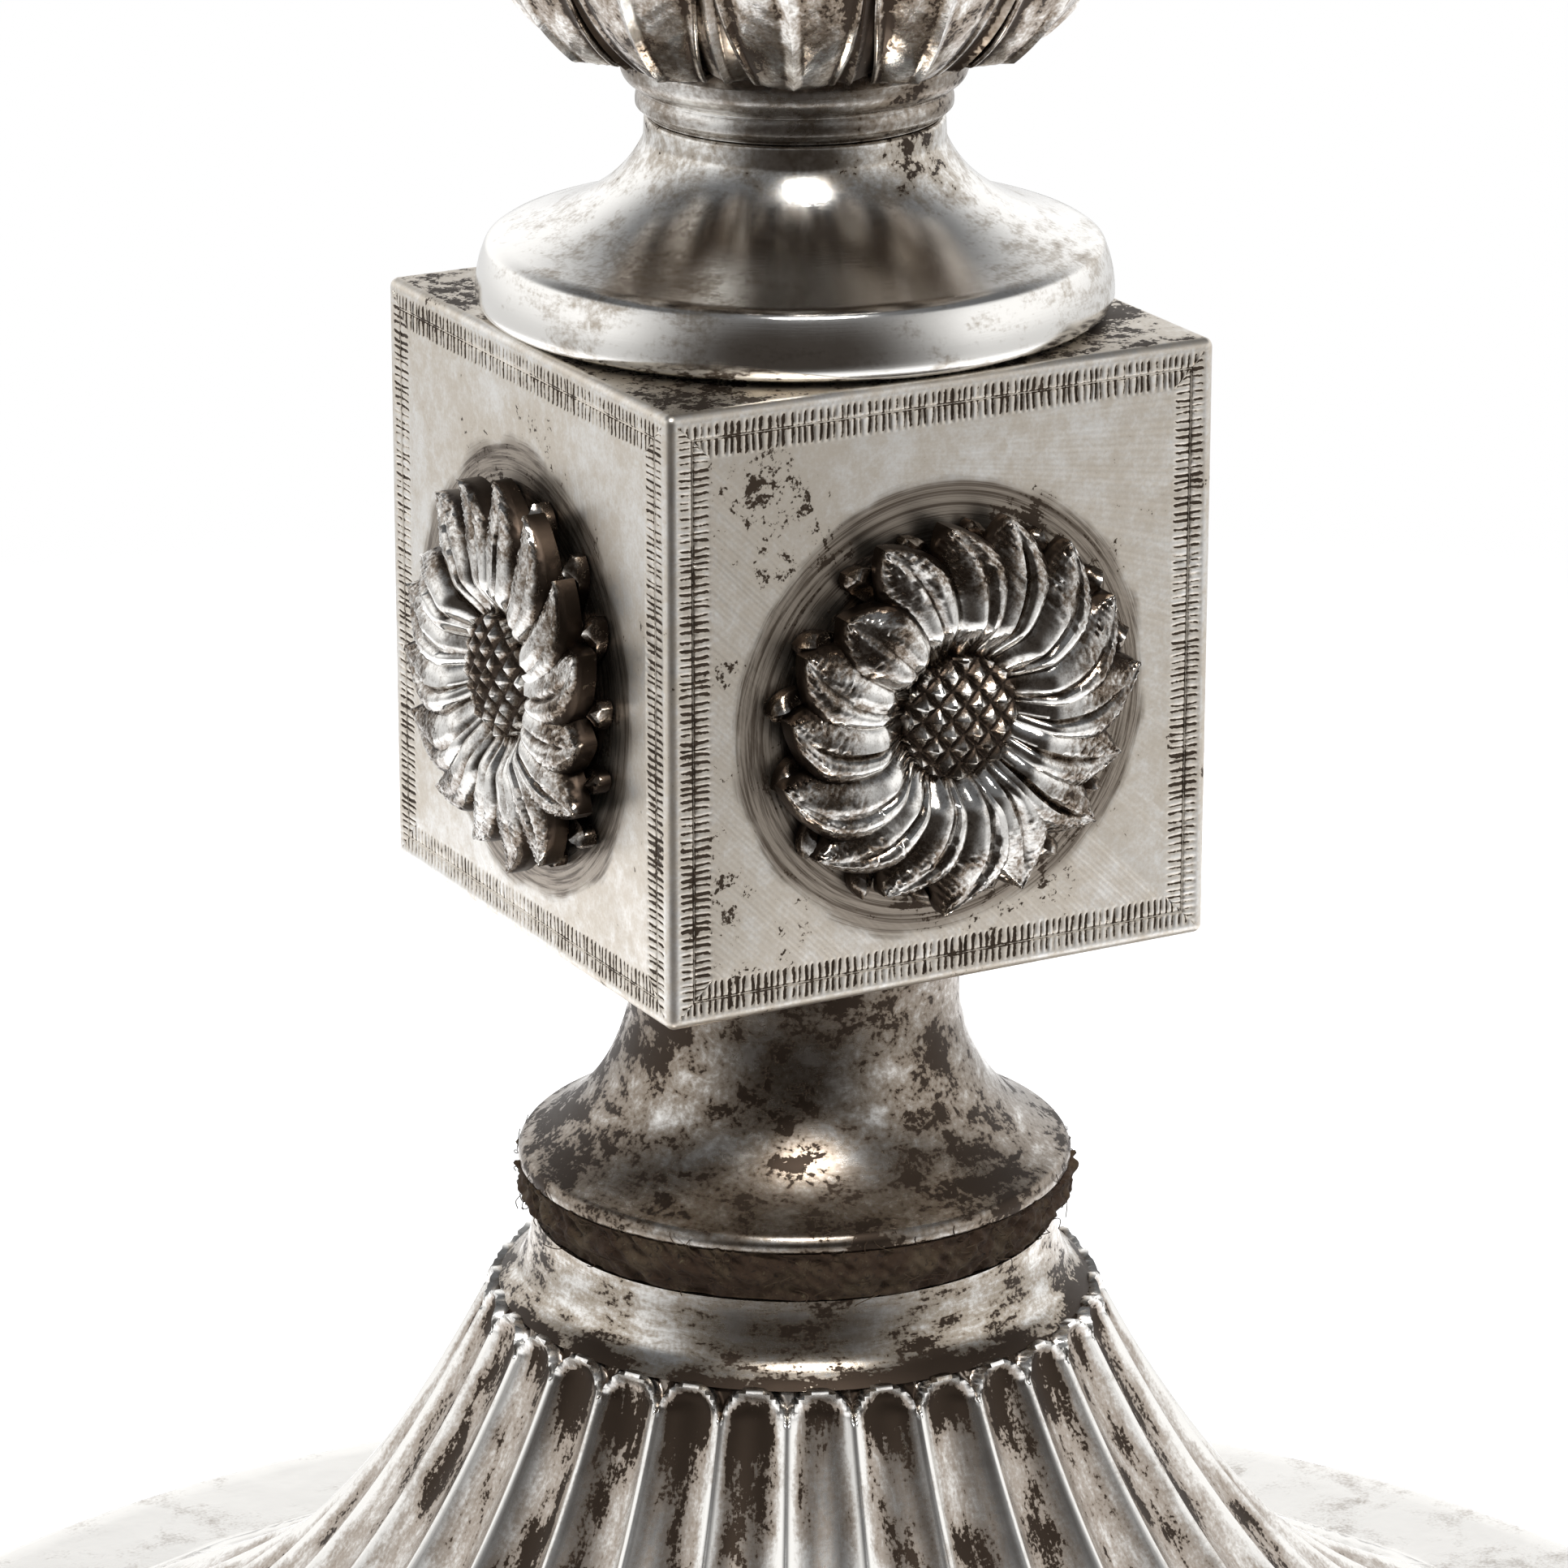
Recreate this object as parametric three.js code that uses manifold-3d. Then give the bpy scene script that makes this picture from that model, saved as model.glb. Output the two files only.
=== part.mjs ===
// A turned and fabricated silver candlestick with a fluted round foot, a cube knop carrying four
// applied sunflowers, a leaf-wrapped vase, a fluted column and a candle socket with a lift-out pan.
// The pieces are threaded on one tie rod, which a nut under the foot pulls tight.
// Millimetres, +Z up, origin on the table at the centre of the foot.

import * as THREE from "three";
import Module from "manifold-3d";
import { mergeVertices } from "three/addons/utils/BufferGeometryUtils.js";

// ---- Driving dimensions, mm ----

const sheet = 1.0; // thickness of the spun and hammered silver
const seam = 0.02; // gap between pieces that are stacked on each other
const roundSides = 24; // flat sides of a turned piece

const rodRadius = 2.5;
const rodClearance = 0.6;
const threadGap = 0.1;

const footRadius = 67.5;
const footRingHeight = 4.2;
const footRingWidth = 2.4;
const brimHeight = 5.2; // top of the plain brim above the table
const brimWidth = 10.0;
const fluteCount = 30;
const fluteDepth = 1.5;
const footNeckRadius = 15.6;
const footNeckHeight = 46.7;
const footNeckLength = 5.0; // plain neck above the flutes
const scallopStep = 1.2; // how far the flutes stand out from the plain neck
const flareEvenShare = 0.55; // share of the flare's fall that is an even slope
const flareSteepness = 3.8; // how quickly the rest falls at the neck

const washerThickness = 3.1;

const spoolHeight = 15.8;
const spoolRimRadius = 16.0;
const spoolRimThickness = 0.8;
const spoolNeckRadius = 9.5;

const cubeSide = 34.0;
const cubeHeight = 34.6;
const cubeWall = 1.4;

const flowerRadius = 11.3;
const flowerDrop = 1.4; // the flowers sit a little below the middle of the cube
const petalCount = 16;
const sepalThickness = 1.5;
const petalThickness = 1.6;
const seedRadius = 3.7;
const seedHeight = 1.3;
const solderGap = 0.1; // under the applied flowers

const discOverhang = 0.8; // the disc is this much wider than half the cube
const discBandHeight = 4.1;
const discHeight = 10.2;
const discNeckRadius = 8.35;

const collarRadius = 10.2;
const collarHeight = 4.9;

const calyxHeight = 16.0;
const vaseRadius = 18.8;
const shoulderHeight = 20.0;
const vaseNeckRadius = 8.2;

const ringHeight = 3.2;
const ringOverhang = 1.6;

const columnLength = 84.0;
const columnFootRadius = 7.2;
const columnHeadRadius = 9.4;
const columnFlutes = 12;
const columnFluteDepth = 0.7;

const candleRadius = 11.0;
const candleClearance = 0.3;
const nozzleWall = 0.75;
const nozzleClearance = 0.35; // between the lift-out nozzle and the socket bore
const nozzleLength = 20.0;
const panRadius = 30.0;
const panRise = 4.2;

const socketCalyxHeight = 14.0;
const socketCalyxOverhang = 1.8;
const socketDepth = 27.0;
const socketLipWidth = 3.0;
const socketLipHeight = 1.6;

const clampWasherThickness = 2.0;
const nutHeight = 5.0;
const nutAcrossCorners = 11.5;
const rodTail = 4.0; // rod that stands out below the nut
const bossHeight = 9.0;
const bossRadius = 5.2;

// ---- Sizes that follow from them ----

const rodHoleRadius = rodRadius + rodClearance;
const tappedRadius = rodRadius + threadGap;
const fluteEndRadius = footRadius - brimWidth;
const fluteTopRadius = footNeckRadius + scallopStep;
const fluteTopHeight = footNeckHeight - footNeckLength;
const washerRadius = spoolRimRadius + 0.1;
const discRadius = cubeSide / 2 + discOverhang;
const nozzleBore = candleRadius + candleClearance;
const nozzleRadius = nozzleBore + nozzleWall;
const socketBore = nozzleRadius + nozzleClearance;
const socketRadius = socketBore + sheet;
const socketCalyxRadius = socketRadius + socketCalyxOverhang;

// ---- Heights where one piece rests on the next ----

const washerBase = footNeckHeight + seam;
const spoolBase = washerBase + washerThickness + seam;
const cubeBase = spoolBase + spoolHeight + seam;
const cubeTop = cubeBase + cubeHeight;
const discBase = cubeTop + seam;
const collarBase = discBase + discHeight + seam;
const calyxBase = collarBase + collarHeight + seam;
const shoulderBase = calyxBase + calyxHeight + seam;
const neckRingBase = shoulderBase + shoulderHeight + seam;
const columnBase = neckRingBase + ringHeight + seam;
const headRingBase = columnBase + columnLength + seam;
const socketCalyxBase = headRingBase + ringHeight + seam;
const socketBase = socketCalyxBase + socketCalyxHeight + seam;
const socketTop = socketBase + socketDepth + sheet;
const panBase = socketTop + seam;

// ---- Materials ----

function metal(color, roughness) {
  return new THREE.MeshStandardMaterial({ color, roughness, metalness: 1.0 });
}

const silver = metal(0xc9c6be, 0.25);
const darkSilver = metal(0x8f8a82, 0.4);
const steel = metal(0x8a8c8e, 0.45);
const brass = metal(0xb08d4c, 0.4);
const leather = new THREE.MeshStandardMaterial({ color: 0x4a3a26, roughness: 0.9 });

// ---- Shape helpers ----

const wasm = await Module();
wasm.setup();

// A closed [radius, height] outline as Vector2s, in the order that makes a lathe's faces point out.
function closedOutline(points) {
  let area = 0;
  points.forEach(([r, z], i) => {
    const [nextR, nextZ] = points[(i + 1) % points.length];
    area += r * nextZ - nextR * z;
  });
  const ordered = area > 0 ? points : [...points].reverse();
  return [...ordered, ordered[0]].map(([r, z]) => new THREE.Vector2(r, z));
}

// A turned piece: the outline goes round the Z axis.
function turned(points, sides = roundSides) {
  const geometry = new THREE.LatheGeometry(closedOutline(points), sides);
  return geometry.rotateX(Math.PI / 2);
}

// Points of a smooth bend between two [radius, height] points, heading for a corner in between.
function bend(from, corner, to, steps) {
  const curve = new THREE.QuadraticBezierCurve(
    new THREE.Vector2(...from),
    new THREE.Vector2(...corner),
    new THREE.Vector2(...to),
  );
  return curve.getPoints(steps).map(({ x, y }) => [x, y]);
}

// A shell of even thickness inside an outline that climbs from its lower edge to its upper edge.
// Both edges are level, so the shell rests flat on its neighbours.
function shell(outer, thickness = sheet) {
  const directions = outer.slice(1).map(([r, z], i) => {
    const [fromR, fromZ] = outer[i];
    const length = Math.hypot(r - fromR, z - fromZ);
    return [(r - fromR) / length, (z - fromZ) / length];
  });
  const last = outer.length - 1;
  const inner = outer.map(([r, z], i) => {
    const [beforeR, beforeZ] = directions[Math.max(i - 1, 0)];
    const [afterR, afterZ] = directions[Math.min(i, last - 1)];
    if (i === 0 || i === last) return [r - thickness / Math.max(afterZ, 0.5), z];
    const mitre = thickness / (1 + beforeR * afterR + beforeZ * afterZ);
    return [r - (beforeZ + afterZ) * mitre, z + (beforeR + afterR) * mitre];
  });
  return turned([...outer, ...inner.reverse()]);
}

// A flat plate of the given outline with a round hole in the middle, its underside at height 0.
function drilledPlate(corners, holeRadius, thickness) {
  const outline = new THREE.Shape(corners);
  outline.holes.push(new THREE.Path().absarc(0, 0, holeRadius, 0, 2 * Math.PI, true));
  return new THREE.ExtrudeGeometry(outline, {
    depth: thickness,
    bevelEnabled: false,
    curveSegments: 16,
  });
}

function mesh(name, geometry, material) {
  const piece = new THREE.Mesh(geometry, material);
  piece.name = name;
  return piece;
}

// Moves every vertex along the radius by inset(radius, height, angle), inwards.
function pressIn(geometry, inset) {
  const place = geometry.getAttribute("position");
  for (let i = 0; i < place.count; i++) {
    const [x, y, z] = [place.getX(i), place.getY(i), place.getZ(i)];
    const radius = Math.hypot(x, y);
    if (radius > 0) {
      const scale = (radius - inset(radius, z, Math.atan2(y, x))) / radius;
      place.setXY(i, x * scale, y * scale);
    }
  }
  return geometry;
}

// Depth of a round-bottomed channel at an angle, 0 on the ridges between channels.
function channel(angle, count) {
  const phase = (angle * count) / (2 * Math.PI);
  const across = phase - Math.floor(phase);
  return Math.sqrt(Math.max(0, 1 - (2 * across - 1) ** 2));
}

// ---- Foot ----

// Height of the hollow flare of the foot at a radius: a curve that falls steeply at the neck
// and runs out almost flat at the brim.
function flareHeight(radius) {
  const run = (radius - fluteTopRadius) / (fluteEndRadius - fluteTopRadius);
  const steepFall = 1 - (1 - Math.min(run, 1)) ** flareSteepness;
  const fall = flareEvenShare * run + (1 - flareEvenShare) * steepFall;
  return fluteTopHeight - (fluteTopHeight - brimHeight) * fall;
}

function makeFootShell() {
  const flareSteps = 8;
  const flare = [];
  for (let i = 0; i <= flareSteps; i++) {
    const radius = fluteTopRadius + (fluteEndRadius - fluteTopRadius) * (i / flareSteps) ** 1.5;
    flare.push([radius, flareHeight(radius)]);
  }
  const outer = [
    [rodHoleRadius, footNeckHeight],
    [footNeckRadius - 1, footNeckHeight],
    [footNeckRadius, footNeckHeight - 1],
    [fluteTopRadius - 0.5, fluteTopHeight + 0.6],
    ...flare,
    [fluteEndRadius + 2, brimHeight],
    [footRadius - 1.5, brimHeight],
    [footRadius - 0.4, brimHeight - 0.5],
    [footRadius - 0.2, footRingHeight + seam],
  ];
  const inner = [
    [footRadius - footRingWidth, footRingHeight + seam],
    ...flare
      .filter((_, i) => i % 2 === 0)
      .reverse()
      .map(([r, z]) => [r - sheet * 0.7, z - sheet]),
    [fluteTopRadius - 2.6, footNeckHeight - 2 * sheet],
    [rodHoleRadius, footNeckHeight - 2 * sheet],
  ];
  const geometry = turned([...outer, ...inner], fluteCount * 2);
  return pressIn(geometry, (radius, height, angle) => {
    const inFlare = radius >= fluteTopRadius - 0.8 && radius < fluteEndRadius - 0.5;
    const belowNeck = height < fluteTopHeight - 1;
    const depth = Math.min(fluteDepth, radius * 0.045);
    return inFlare && belowNeck ? depth * channel(angle, fluteCount) : 0;
  });
}

function makeFootRing() {
  const innerRadius = footRadius - footRingWidth;
  return turned(
    [
      [innerRadius, 0],
      [footRadius - 0.3, 0],
      [footRadius, 0.8],
      [footRadius, footRingHeight - 0.5],
      [footRadius - 0.3, footRingHeight],
      [innerRadius, footRingHeight],
    ],
    48,
  );
}

// ---- Stem pieces ----

function makeLeatherWasher() {
  return turned([
    [rodHoleRadius, washerBase],
    [washerRadius - 0.8, washerBase],
    [washerRadius, washerBase + washerThickness * 0.7],
    [washerRadius, washerBase + washerThickness],
    [rodHoleRadius, washerBase + washerThickness],
  ]);
}

function makeSpool() {
  return shell([
    [spoolRimRadius, spoolBase],
    ...bend(
      [spoolRimRadius, spoolBase + spoolRimThickness],
      [spoolNeckRadius + 0.6, spoolBase + 3.4],
      [spoolNeckRadius, spoolBase + spoolHeight * 0.68],
      4,
    ),
    [spoolNeckRadius, spoolBase + spoolHeight],
  ]);
}

function square(reach) {
  return [
    new THREE.Vector2(-reach, -reach),
    new THREE.Vector2(reach, -reach),
    new THREE.Vector2(reach, reach),
    new THREE.Vector2(-reach, reach),
  ];
}

function squarePlate(base) {
  return drilledPlate(square(cubeSide / 2), rodHoleRadius, cubeWall).translate(0, 0, base);
}

// The four walls of the cube, one folded strip with an open top and bottom.
function makeCubeWalls() {
  const half = cubeSide / 2;
  const outline = new THREE.Shape(square(half));
  outline.holes.push(new THREE.Path(square(half - cubeWall).reverse()));
  const height = cubeHeight - 2 * (cubeWall + seam);
  const walls = new THREE.ExtrudeGeometry(outline, { depth: height, bevelEnabled: false });
  return walls.translate(0, 0, cubeBase + cubeWall + seam);
}

// ---- Sunflowers ----

// A flat star of rounded, pointed petals. turn shifts it by a share of one petal.
function petalStar(tipRadius, notchRadius, count, turn) {
  const outline = new THREE.Shape();
  const stops = [
    [0, notchRadius],
    [0.22, (notchRadius + tipRadius) * 0.52],
    [0.5, tipRadius],
    [0.78, (notchRadius + tipRadius) * 0.52],
  ];
  for (let i = 0; i < count; i++) {
    stops.forEach(([share, radius], k) => {
      const angle = ((i + share + turn) / count) * 2 * Math.PI;
      const [x, y] = [radius * Math.cos(angle), radius * Math.sin(angle)];
      if (i === 0 && k === 0) outline.moveTo(x, y);
      else outline.lineTo(x, y);
    });
  }
  return outline;
}

function toSolid(geometry) {
  const bare = new THREE.BufferGeometry();
  bare.setAttribute("position", geometry.getAttribute("position").clone());
  if (geometry.index) bare.setIndex(geometry.index.clone());
  const merged = mergeVertices(bare, 1e-4);
  return new wasm.Manifold(
    new wasm.Mesh({
      numProp: 3,
      vertProperties: merged.getAttribute("position").array,
      triVerts: new Uint32Array(merged.index.array),
    }),
  );
}

function joined(first, second) {
  const result = toSolid(first).add(toSolid(second)).getMesh();
  const geometry = new THREE.BufferGeometry();
  geometry.setAttribute("position", new THREE.BufferAttribute(result.vertProperties, 3));
  geometry.setIndex(new THREE.BufferAttribute(result.triVerts, 1));
  return geometry;
}

// The sepals lie on the wall and the petals on the sepals. Both face +Z here.
function makeSepals() {
  const star = petalStar(flowerRadius * 0.97, flowerRadius * 0.8, petalCount, 0.5);
  return new THREE.ExtrudeGeometry(star, { depth: sepalThickness, bevelEnabled: false });
}

function makePetals() {
  const star = petalStar(flowerRadius, flowerRadius * 0.78, petalCount, 0);
  const petals = new THREE.ExtrudeGeometry(star, { depth: petalThickness, bevelEnabled: false });
  const sunk = petalThickness / 2;
  const dome = turned(
    [
      [0, sunk],
      [seedRadius, sunk],
      [seedRadius, petalThickness + seedHeight * 0.35],
      [seedRadius * 0.62, petalThickness + seedHeight * 0.85],
      [0, petalThickness + seedHeight],
    ],
    12,
  );
  return joined(petals, dome);
}

// Sepals and petals of one sunflower on the wall that faces the given angle about Z.
function makeSunflower(side, facing) {
  const flower = new THREE.Group();
  const sepals = mesh("sunflower_sepals_" + side, makeSepals(), darkSilver);
  const petals = mesh("sunflower_petals_" + side, makePetals(), silver);
  sepals.position.z = solderGap;
  petals.position.z = solderGap + sepalThickness + solderGap;
  flower.add(sepals, petals);
  flower.rotation.set(Math.PI / 2, 0, 0);
  flower.position.set(0, -cubeSide / 2, cubeBase + cubeHeight / 2 - flowerDrop);
  const turnedFlower = new THREE.Group();
  turnedFlower.add(flower);
  turnedFlower.rotation.z = facing;
  return turnedFlower;
}

// ---- Upper stem ----

function makeDisc() {
  const bandTop = discBase + discBandHeight;
  return shell([
    [discRadius - 0.1, discBase],
    [discRadius, discBase + discBandHeight * 0.4],
    ...bend(
      [discRadius - 0.4, bandTop],
      [discNeckRadius + 2.2, bandTop + 2.5],
      [discNeckRadius, discBase + discHeight],
      4,
    ),
  ]);
}

function makeCollar() {
  return turned([
    [rodHoleRadius, collarBase],
    [discNeckRadius, collarBase],
    [collarRadius - 0.6, collarBase + collarHeight * 0.35],
    [collarRadius, collarBase + collarHeight * 0.7],
    [collarRadius, collarBase + collarHeight],
    [rodHoleRadius, collarBase + collarHeight],
  ]);
}

// A bowl that swells from the top of the ring below it to its rim, with a drilled floor.
function makeBowl(base, height, bottomRadius, rimRadius) {
  const outer = bend(
    [bottomRadius, base],
    [rimRadius - 1.8, base + height * 0.19],
    [rimRadius, base + height],
    5,
  );
  const inner = bend(
    [rodHoleRadius, base + 2 * sheet],
    [rimRadius - 1.8, base + height * 0.19 + sheet],
    [rimRadius - sheet, base + height],
    3,
  );
  return turned([[rodHoleRadius, base], ...outer, ...inner.reverse()]);
}

function makeShoulder() {
  return shell([
    [vaseRadius - 0.6, shoulderBase],
    ...bend(
      [vaseRadius - 0.7, shoulderBase + 1],
      [vaseRadius - 1.6, shoulderBase + shoulderHeight * 0.52],
      [vaseNeckRadius + 3.2, shoulderBase + shoulderHeight * 0.62],
      4,
    ),
    ...bend(
      [vaseNeckRadius + 1.6, shoulderBase + shoulderHeight * 0.7],
      [vaseNeckRadius, shoulderBase + shoulderHeight * 0.8],
      [vaseNeckRadius, shoulderBase + shoulderHeight],
      3,
    ),
  ]);
}

// A small turned ring between two stem pieces of the given radii.
function makeRing(base, bottomRadius, topRadius) {
  const ringRadius = Math.max(bottomRadius, topRadius) + ringOverhang;
  return turned([
    [rodHoleRadius, base],
    [bottomRadius, base],
    [ringRadius, base + ringHeight * 0.3],
    [ringRadius, base + ringHeight * 0.7],
    [topRadius, base + ringHeight],
    [rodHoleRadius, base + ringHeight],
  ]);
}

function makeColumn() {
  const top = columnBase + columnLength;
  const geometry = turned(
    [
      [columnFootRadius - sheet, columnBase],
      [columnFootRadius, columnBase],
      [columnFootRadius, columnBase + 3],
      [columnFootRadius + 0.2, columnBase + 5],
      [columnHeadRadius - 0.2, top - 5],
      [columnHeadRadius, top - 3],
      [columnHeadRadius, top],
      [columnHeadRadius - sheet, top],
      [columnHeadRadius - sheet - columnFluteDepth, top - 3],
      [columnFootRadius - sheet - columnFluteDepth, columnBase + 3],
    ],
    columnFlutes * 2,
  );
  return pressIn(geometry, (radius, height, angle) => {
    const inFlutes = height > columnBase + 4 && height < top - 4 && radius > columnFootRadius;
    return inFlutes ? columnFluteDepth * channel(angle, columnFlutes) : 0;
  });
}

// ---- Socket and lift-out pan ----

function makeSocket() {
  return turned([
    [0, socketBase],
    [socketRadius, socketBase],
    [socketRadius, socketTop - socketLipHeight - socketLipWidth * 0.8],
    [socketRadius + socketLipWidth, socketTop - socketLipHeight],
    [socketRadius + socketLipWidth, socketTop],
    [socketBore, socketTop],
    [socketBore, socketBase + sheet],
    [0, socketBase + sheet],
  ]);
}

function makePan() {
  const innerRim = socketRadius + socketLipWidth;
  return turned(
    [
      [nozzleBore, panBase - nozzleLength],
      [nozzleRadius, panBase - nozzleLength],
      [nozzleRadius, panBase],
      [innerRim, panBase],
      [panRadius * 0.85, panBase + 0.8],
      [panRadius - 0.6, panBase + panRise - 1.2],
      [panRadius, panBase + panRise - 0.4],
      [panRadius - 0.4, panBase + panRise],
      [panRadius - 1.9, panBase + panRise - 0.8],
      [panRadius * 0.85 - 0.5, panBase + 0.8 + sheet],
      [nozzleRadius + 1.5, panBase + sheet],
      [nozzleRadius, panBase + 3.2],
      [nozzleBore, panBase + 3.2],
    ],
    36,
  );
}

// ---- Tie rod and fasteners ----

const clampTop = footNeckHeight - 2 * sheet - seam;

function makeClampWasher() {
  return turned([
    [rodHoleRadius, clampTop - clampWasherThickness],
    [footNeckRadius - 4.5, clampTop - clampWasherThickness],
    [footNeckRadius - 3.2, clampTop - clampWasherThickness * 0.5],
    [footNeckRadius - 3.2, clampTop],
    [rodHoleRadius, clampTop],
  ]);
}

function makeNut() {
  const hexagon = [];
  for (let corner = 0; corner < 6; corner++) {
    const angle = (corner / 6) * 2 * Math.PI;
    const [x, y] = [Math.cos(angle), Math.sin(angle)];
    hexagon.push(new THREE.Vector2(x, y).multiplyScalar(nutAcrossCorners / 2));
  }
  const nut = drilledPlate(hexagon, tappedRadius, nutHeight);
  return nut.translate(0, 0, clampTop - clampWasherThickness - seam - nutHeight);
}

// Brass boss under the socket, tapped for the tie rod.
function makeBoss() {
  const top = socketBase - seam;
  return turned(
    [
      [tappedRadius, top - bossHeight],
      [bossRadius, top - bossHeight],
      [bossRadius, top],
      [tappedRadius, top],
    ],
    16,
  );
}

function makeTieRod() {
  const bottom = clampTop - clampWasherThickness - nutHeight - rodTail;
  const top = socketBase - 1;
  return turned(
    [
      [0, bottom],
      [rodRadius - 0.4, bottom],
      [rodRadius, bottom + 0.6],
      [rodRadius, top - 0.6],
      [rodRadius - 0.4, top],
      [0, top],
    ],
    16,
  );
}

// ---- Assembly ----

const candlestick = new THREE.Group();
candlestick.add(
  mesh("foot_ring", makeFootRing(), silver),
  mesh("fluted_foot", makeFootShell(), silver),
  mesh("leather_washer", makeLeatherWasher(), leather),
  mesh("lower_spool", makeSpool(), silver),
  mesh("cube_bottom_plate", squarePlate(cubeBase), silver),
  mesh("cube_walls", makeCubeWalls(), silver),
  mesh("cube_top_plate", squarePlate(cubeTop - cubeWall), silver),
  mesh("flared_disc", makeDisc(), silver),
  mesh("vase_collar", makeCollar(), silver),
  mesh("leaf_calyx", makeBowl(calyxBase, calyxHeight, collarRadius - 0.6, vaseRadius), silver),
  mesh("vase_shoulder", makeShoulder(), silver),
  mesh("vase_neck_ring", makeRing(neckRingBase, vaseNeckRadius, columnFootRadius + 0.6), silver),
  mesh("fluted_column", makeColumn(), silver),
  mesh("column_head_ring", makeRing(headRingBase, columnHeadRadius, columnHeadRadius - 0.8), silver),
  mesh(
    "socket_calyx",
    makeBowl(socketCalyxBase, socketCalyxHeight, columnHeadRadius - 1.4, socketCalyxRadius),
    silver,
  ),
  mesh("candle_socket", makeSocket(), silver),
  mesh("drip_pan", makePan(), silver),
  mesh("tie_rod", makeTieRod(), steel),
  mesh("clamp_washer", makeClampWasher(), steel),
  mesh("clamp_nut", makeNut(), steel),
  mesh("rod_boss", makeBoss(), brass),
);
["front", "right", "back", "left"].forEach((side, quarter) => {
  candlestick.add(makeSunflower(side, (quarter * Math.PI) / 2));
});

export default candlestick;
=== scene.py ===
"""A silver candlestick, built as an add-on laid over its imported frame.

Every piece is made in mesh code around the frame's nodes: the fluted foot with its scalloped top, the
leather packing, the turned stem pieces, the engraved cube knop with four cast sunflowers, the leaf-wrapped
vase, and the column, socket and lift-out pan above them. Shapes are worked out in millimetres and stored
in metres.
"""

from math import atan2, cos, pi, radians, sin

import bmesh
import bpy
import numpy as np
from bpy.props import FloatProperty, FloatVectorProperty, IntProperty, PointerProperty
from bpy.types import Operator, Panel, PropertyGroup
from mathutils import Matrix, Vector


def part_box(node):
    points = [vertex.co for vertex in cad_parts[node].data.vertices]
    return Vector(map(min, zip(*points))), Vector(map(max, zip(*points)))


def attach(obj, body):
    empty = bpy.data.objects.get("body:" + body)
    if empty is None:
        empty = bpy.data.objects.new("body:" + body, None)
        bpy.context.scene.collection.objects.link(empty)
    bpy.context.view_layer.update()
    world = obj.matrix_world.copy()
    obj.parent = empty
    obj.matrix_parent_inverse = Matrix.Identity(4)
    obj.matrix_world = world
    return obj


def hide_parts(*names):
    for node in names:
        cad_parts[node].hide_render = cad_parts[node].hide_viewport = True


bl_info = {
    "name": "Silver Candlestick",
    "version": (1, 0, 0),
    "blender": (4, 5, 0),
    "location": "View3D > Sidebar > Candlestick",
    "description": "Builds a tarnished silver candlestick with a fluted foot and a sunflower knop",
    "category": "Add Mesh",
}

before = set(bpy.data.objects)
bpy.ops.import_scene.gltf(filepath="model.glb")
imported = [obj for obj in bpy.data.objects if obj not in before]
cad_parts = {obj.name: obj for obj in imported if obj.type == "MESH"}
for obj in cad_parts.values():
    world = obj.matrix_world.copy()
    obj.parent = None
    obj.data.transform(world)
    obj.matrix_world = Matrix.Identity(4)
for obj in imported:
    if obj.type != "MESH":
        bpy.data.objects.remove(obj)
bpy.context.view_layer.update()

MM = 0.001
STAND = "stand"
PAN = "pan"

# Millimetres: the sheet silver's thickness, the rod's clearance radius and the leaf bowls' floors.
SHEET = 1.0
ROD_HOLE = 3.1
BOWL_FLOOR = 2.0


# ---------------------------------------------------------------- sizes read from the frame


def span(node):
    """Lowest and highest corner of a frame node, in millimetres."""
    low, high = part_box(node)
    return np.array(low) / MM, np.array(high) / MM


def outer_radius(node):
    """How far a frame node reaches out from the stem's axis."""
    high = span(node)[1]
    return float(max(high[0], high[1]))


def floor_of(node):
    """Height of a frame node's underside."""
    return float(span(node)[0][2])


def top_of(node):
    """Height of a frame node's top."""
    return float(span(node)[1][2])


def reach_of(node):
    """Floor, top and outer radius of a frame node, in millimetres."""
    return floor_of(node), top_of(node), outer_radius(node)


KNOP_LOW = floor_of("cube_bottom_plate")
KNOP_HIGH = top_of("cube_top_plate")
KNOP_HALF = outer_radius("cube_top_plate")
KNOP_MIDDLE = Vector((0, 0, (KNOP_LOW + KNOP_HIGH) / 2))
FLOWER_LOW, FLOWER_HIGH = span("sunflower_petals_front")
FLOWER_RADIUS = float(FLOWER_HIGH[2] - FLOWER_LOW[2]) / 2
FLOWER_HEIGHT = float(FLOWER_HIGH[2] + FLOWER_LOW[2]) / 2
SIDES = ("front", "right", "back", "left")


# ---------------------------------------------------------------- settings


def linear(hex_colour):
    """An sRGB hex colour as linear red, green and blue."""
    channels = [int(hex_colour[i : i + 2], 16) / 255 for i in (1, 3, 5)]
    return tuple(c / 12.92 if c <= 0.04045 else ((c + 0.055) / 1.055) ** 2.4 for c in channels)


def size(name, description, millimetres):
    """A length that a user may change."""
    return FloatProperty(
        name=name,
        description=description,
        default=millimetres * MM,
        min=0,
        unit="LENGTH",
        subtype="DISTANCE",
        precision=5,
    )


def colour(name, description, hex_colour):
    """A colour that a user may change."""
    return FloatVectorProperty(
        name=name,
        description=description,
        default=linear(hex_colour),
        min=0,
        max=1,
        subtype="COLOR",
    )


class FootSettings(PropertyGroup):
    flutes: IntProperty(name="Flutes", description="Hollows around the foot", default=30, min=6)
    depth: size("Flute depth", "Deepest hollow, at the brim", 1.3)
    rim: size("Flute rim", "Width of the raised edge on each side of a flute", 0.24)
    step: size("Scallop step", "How far the flutes' tops stand out from the plain neck", 0.55)


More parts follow.
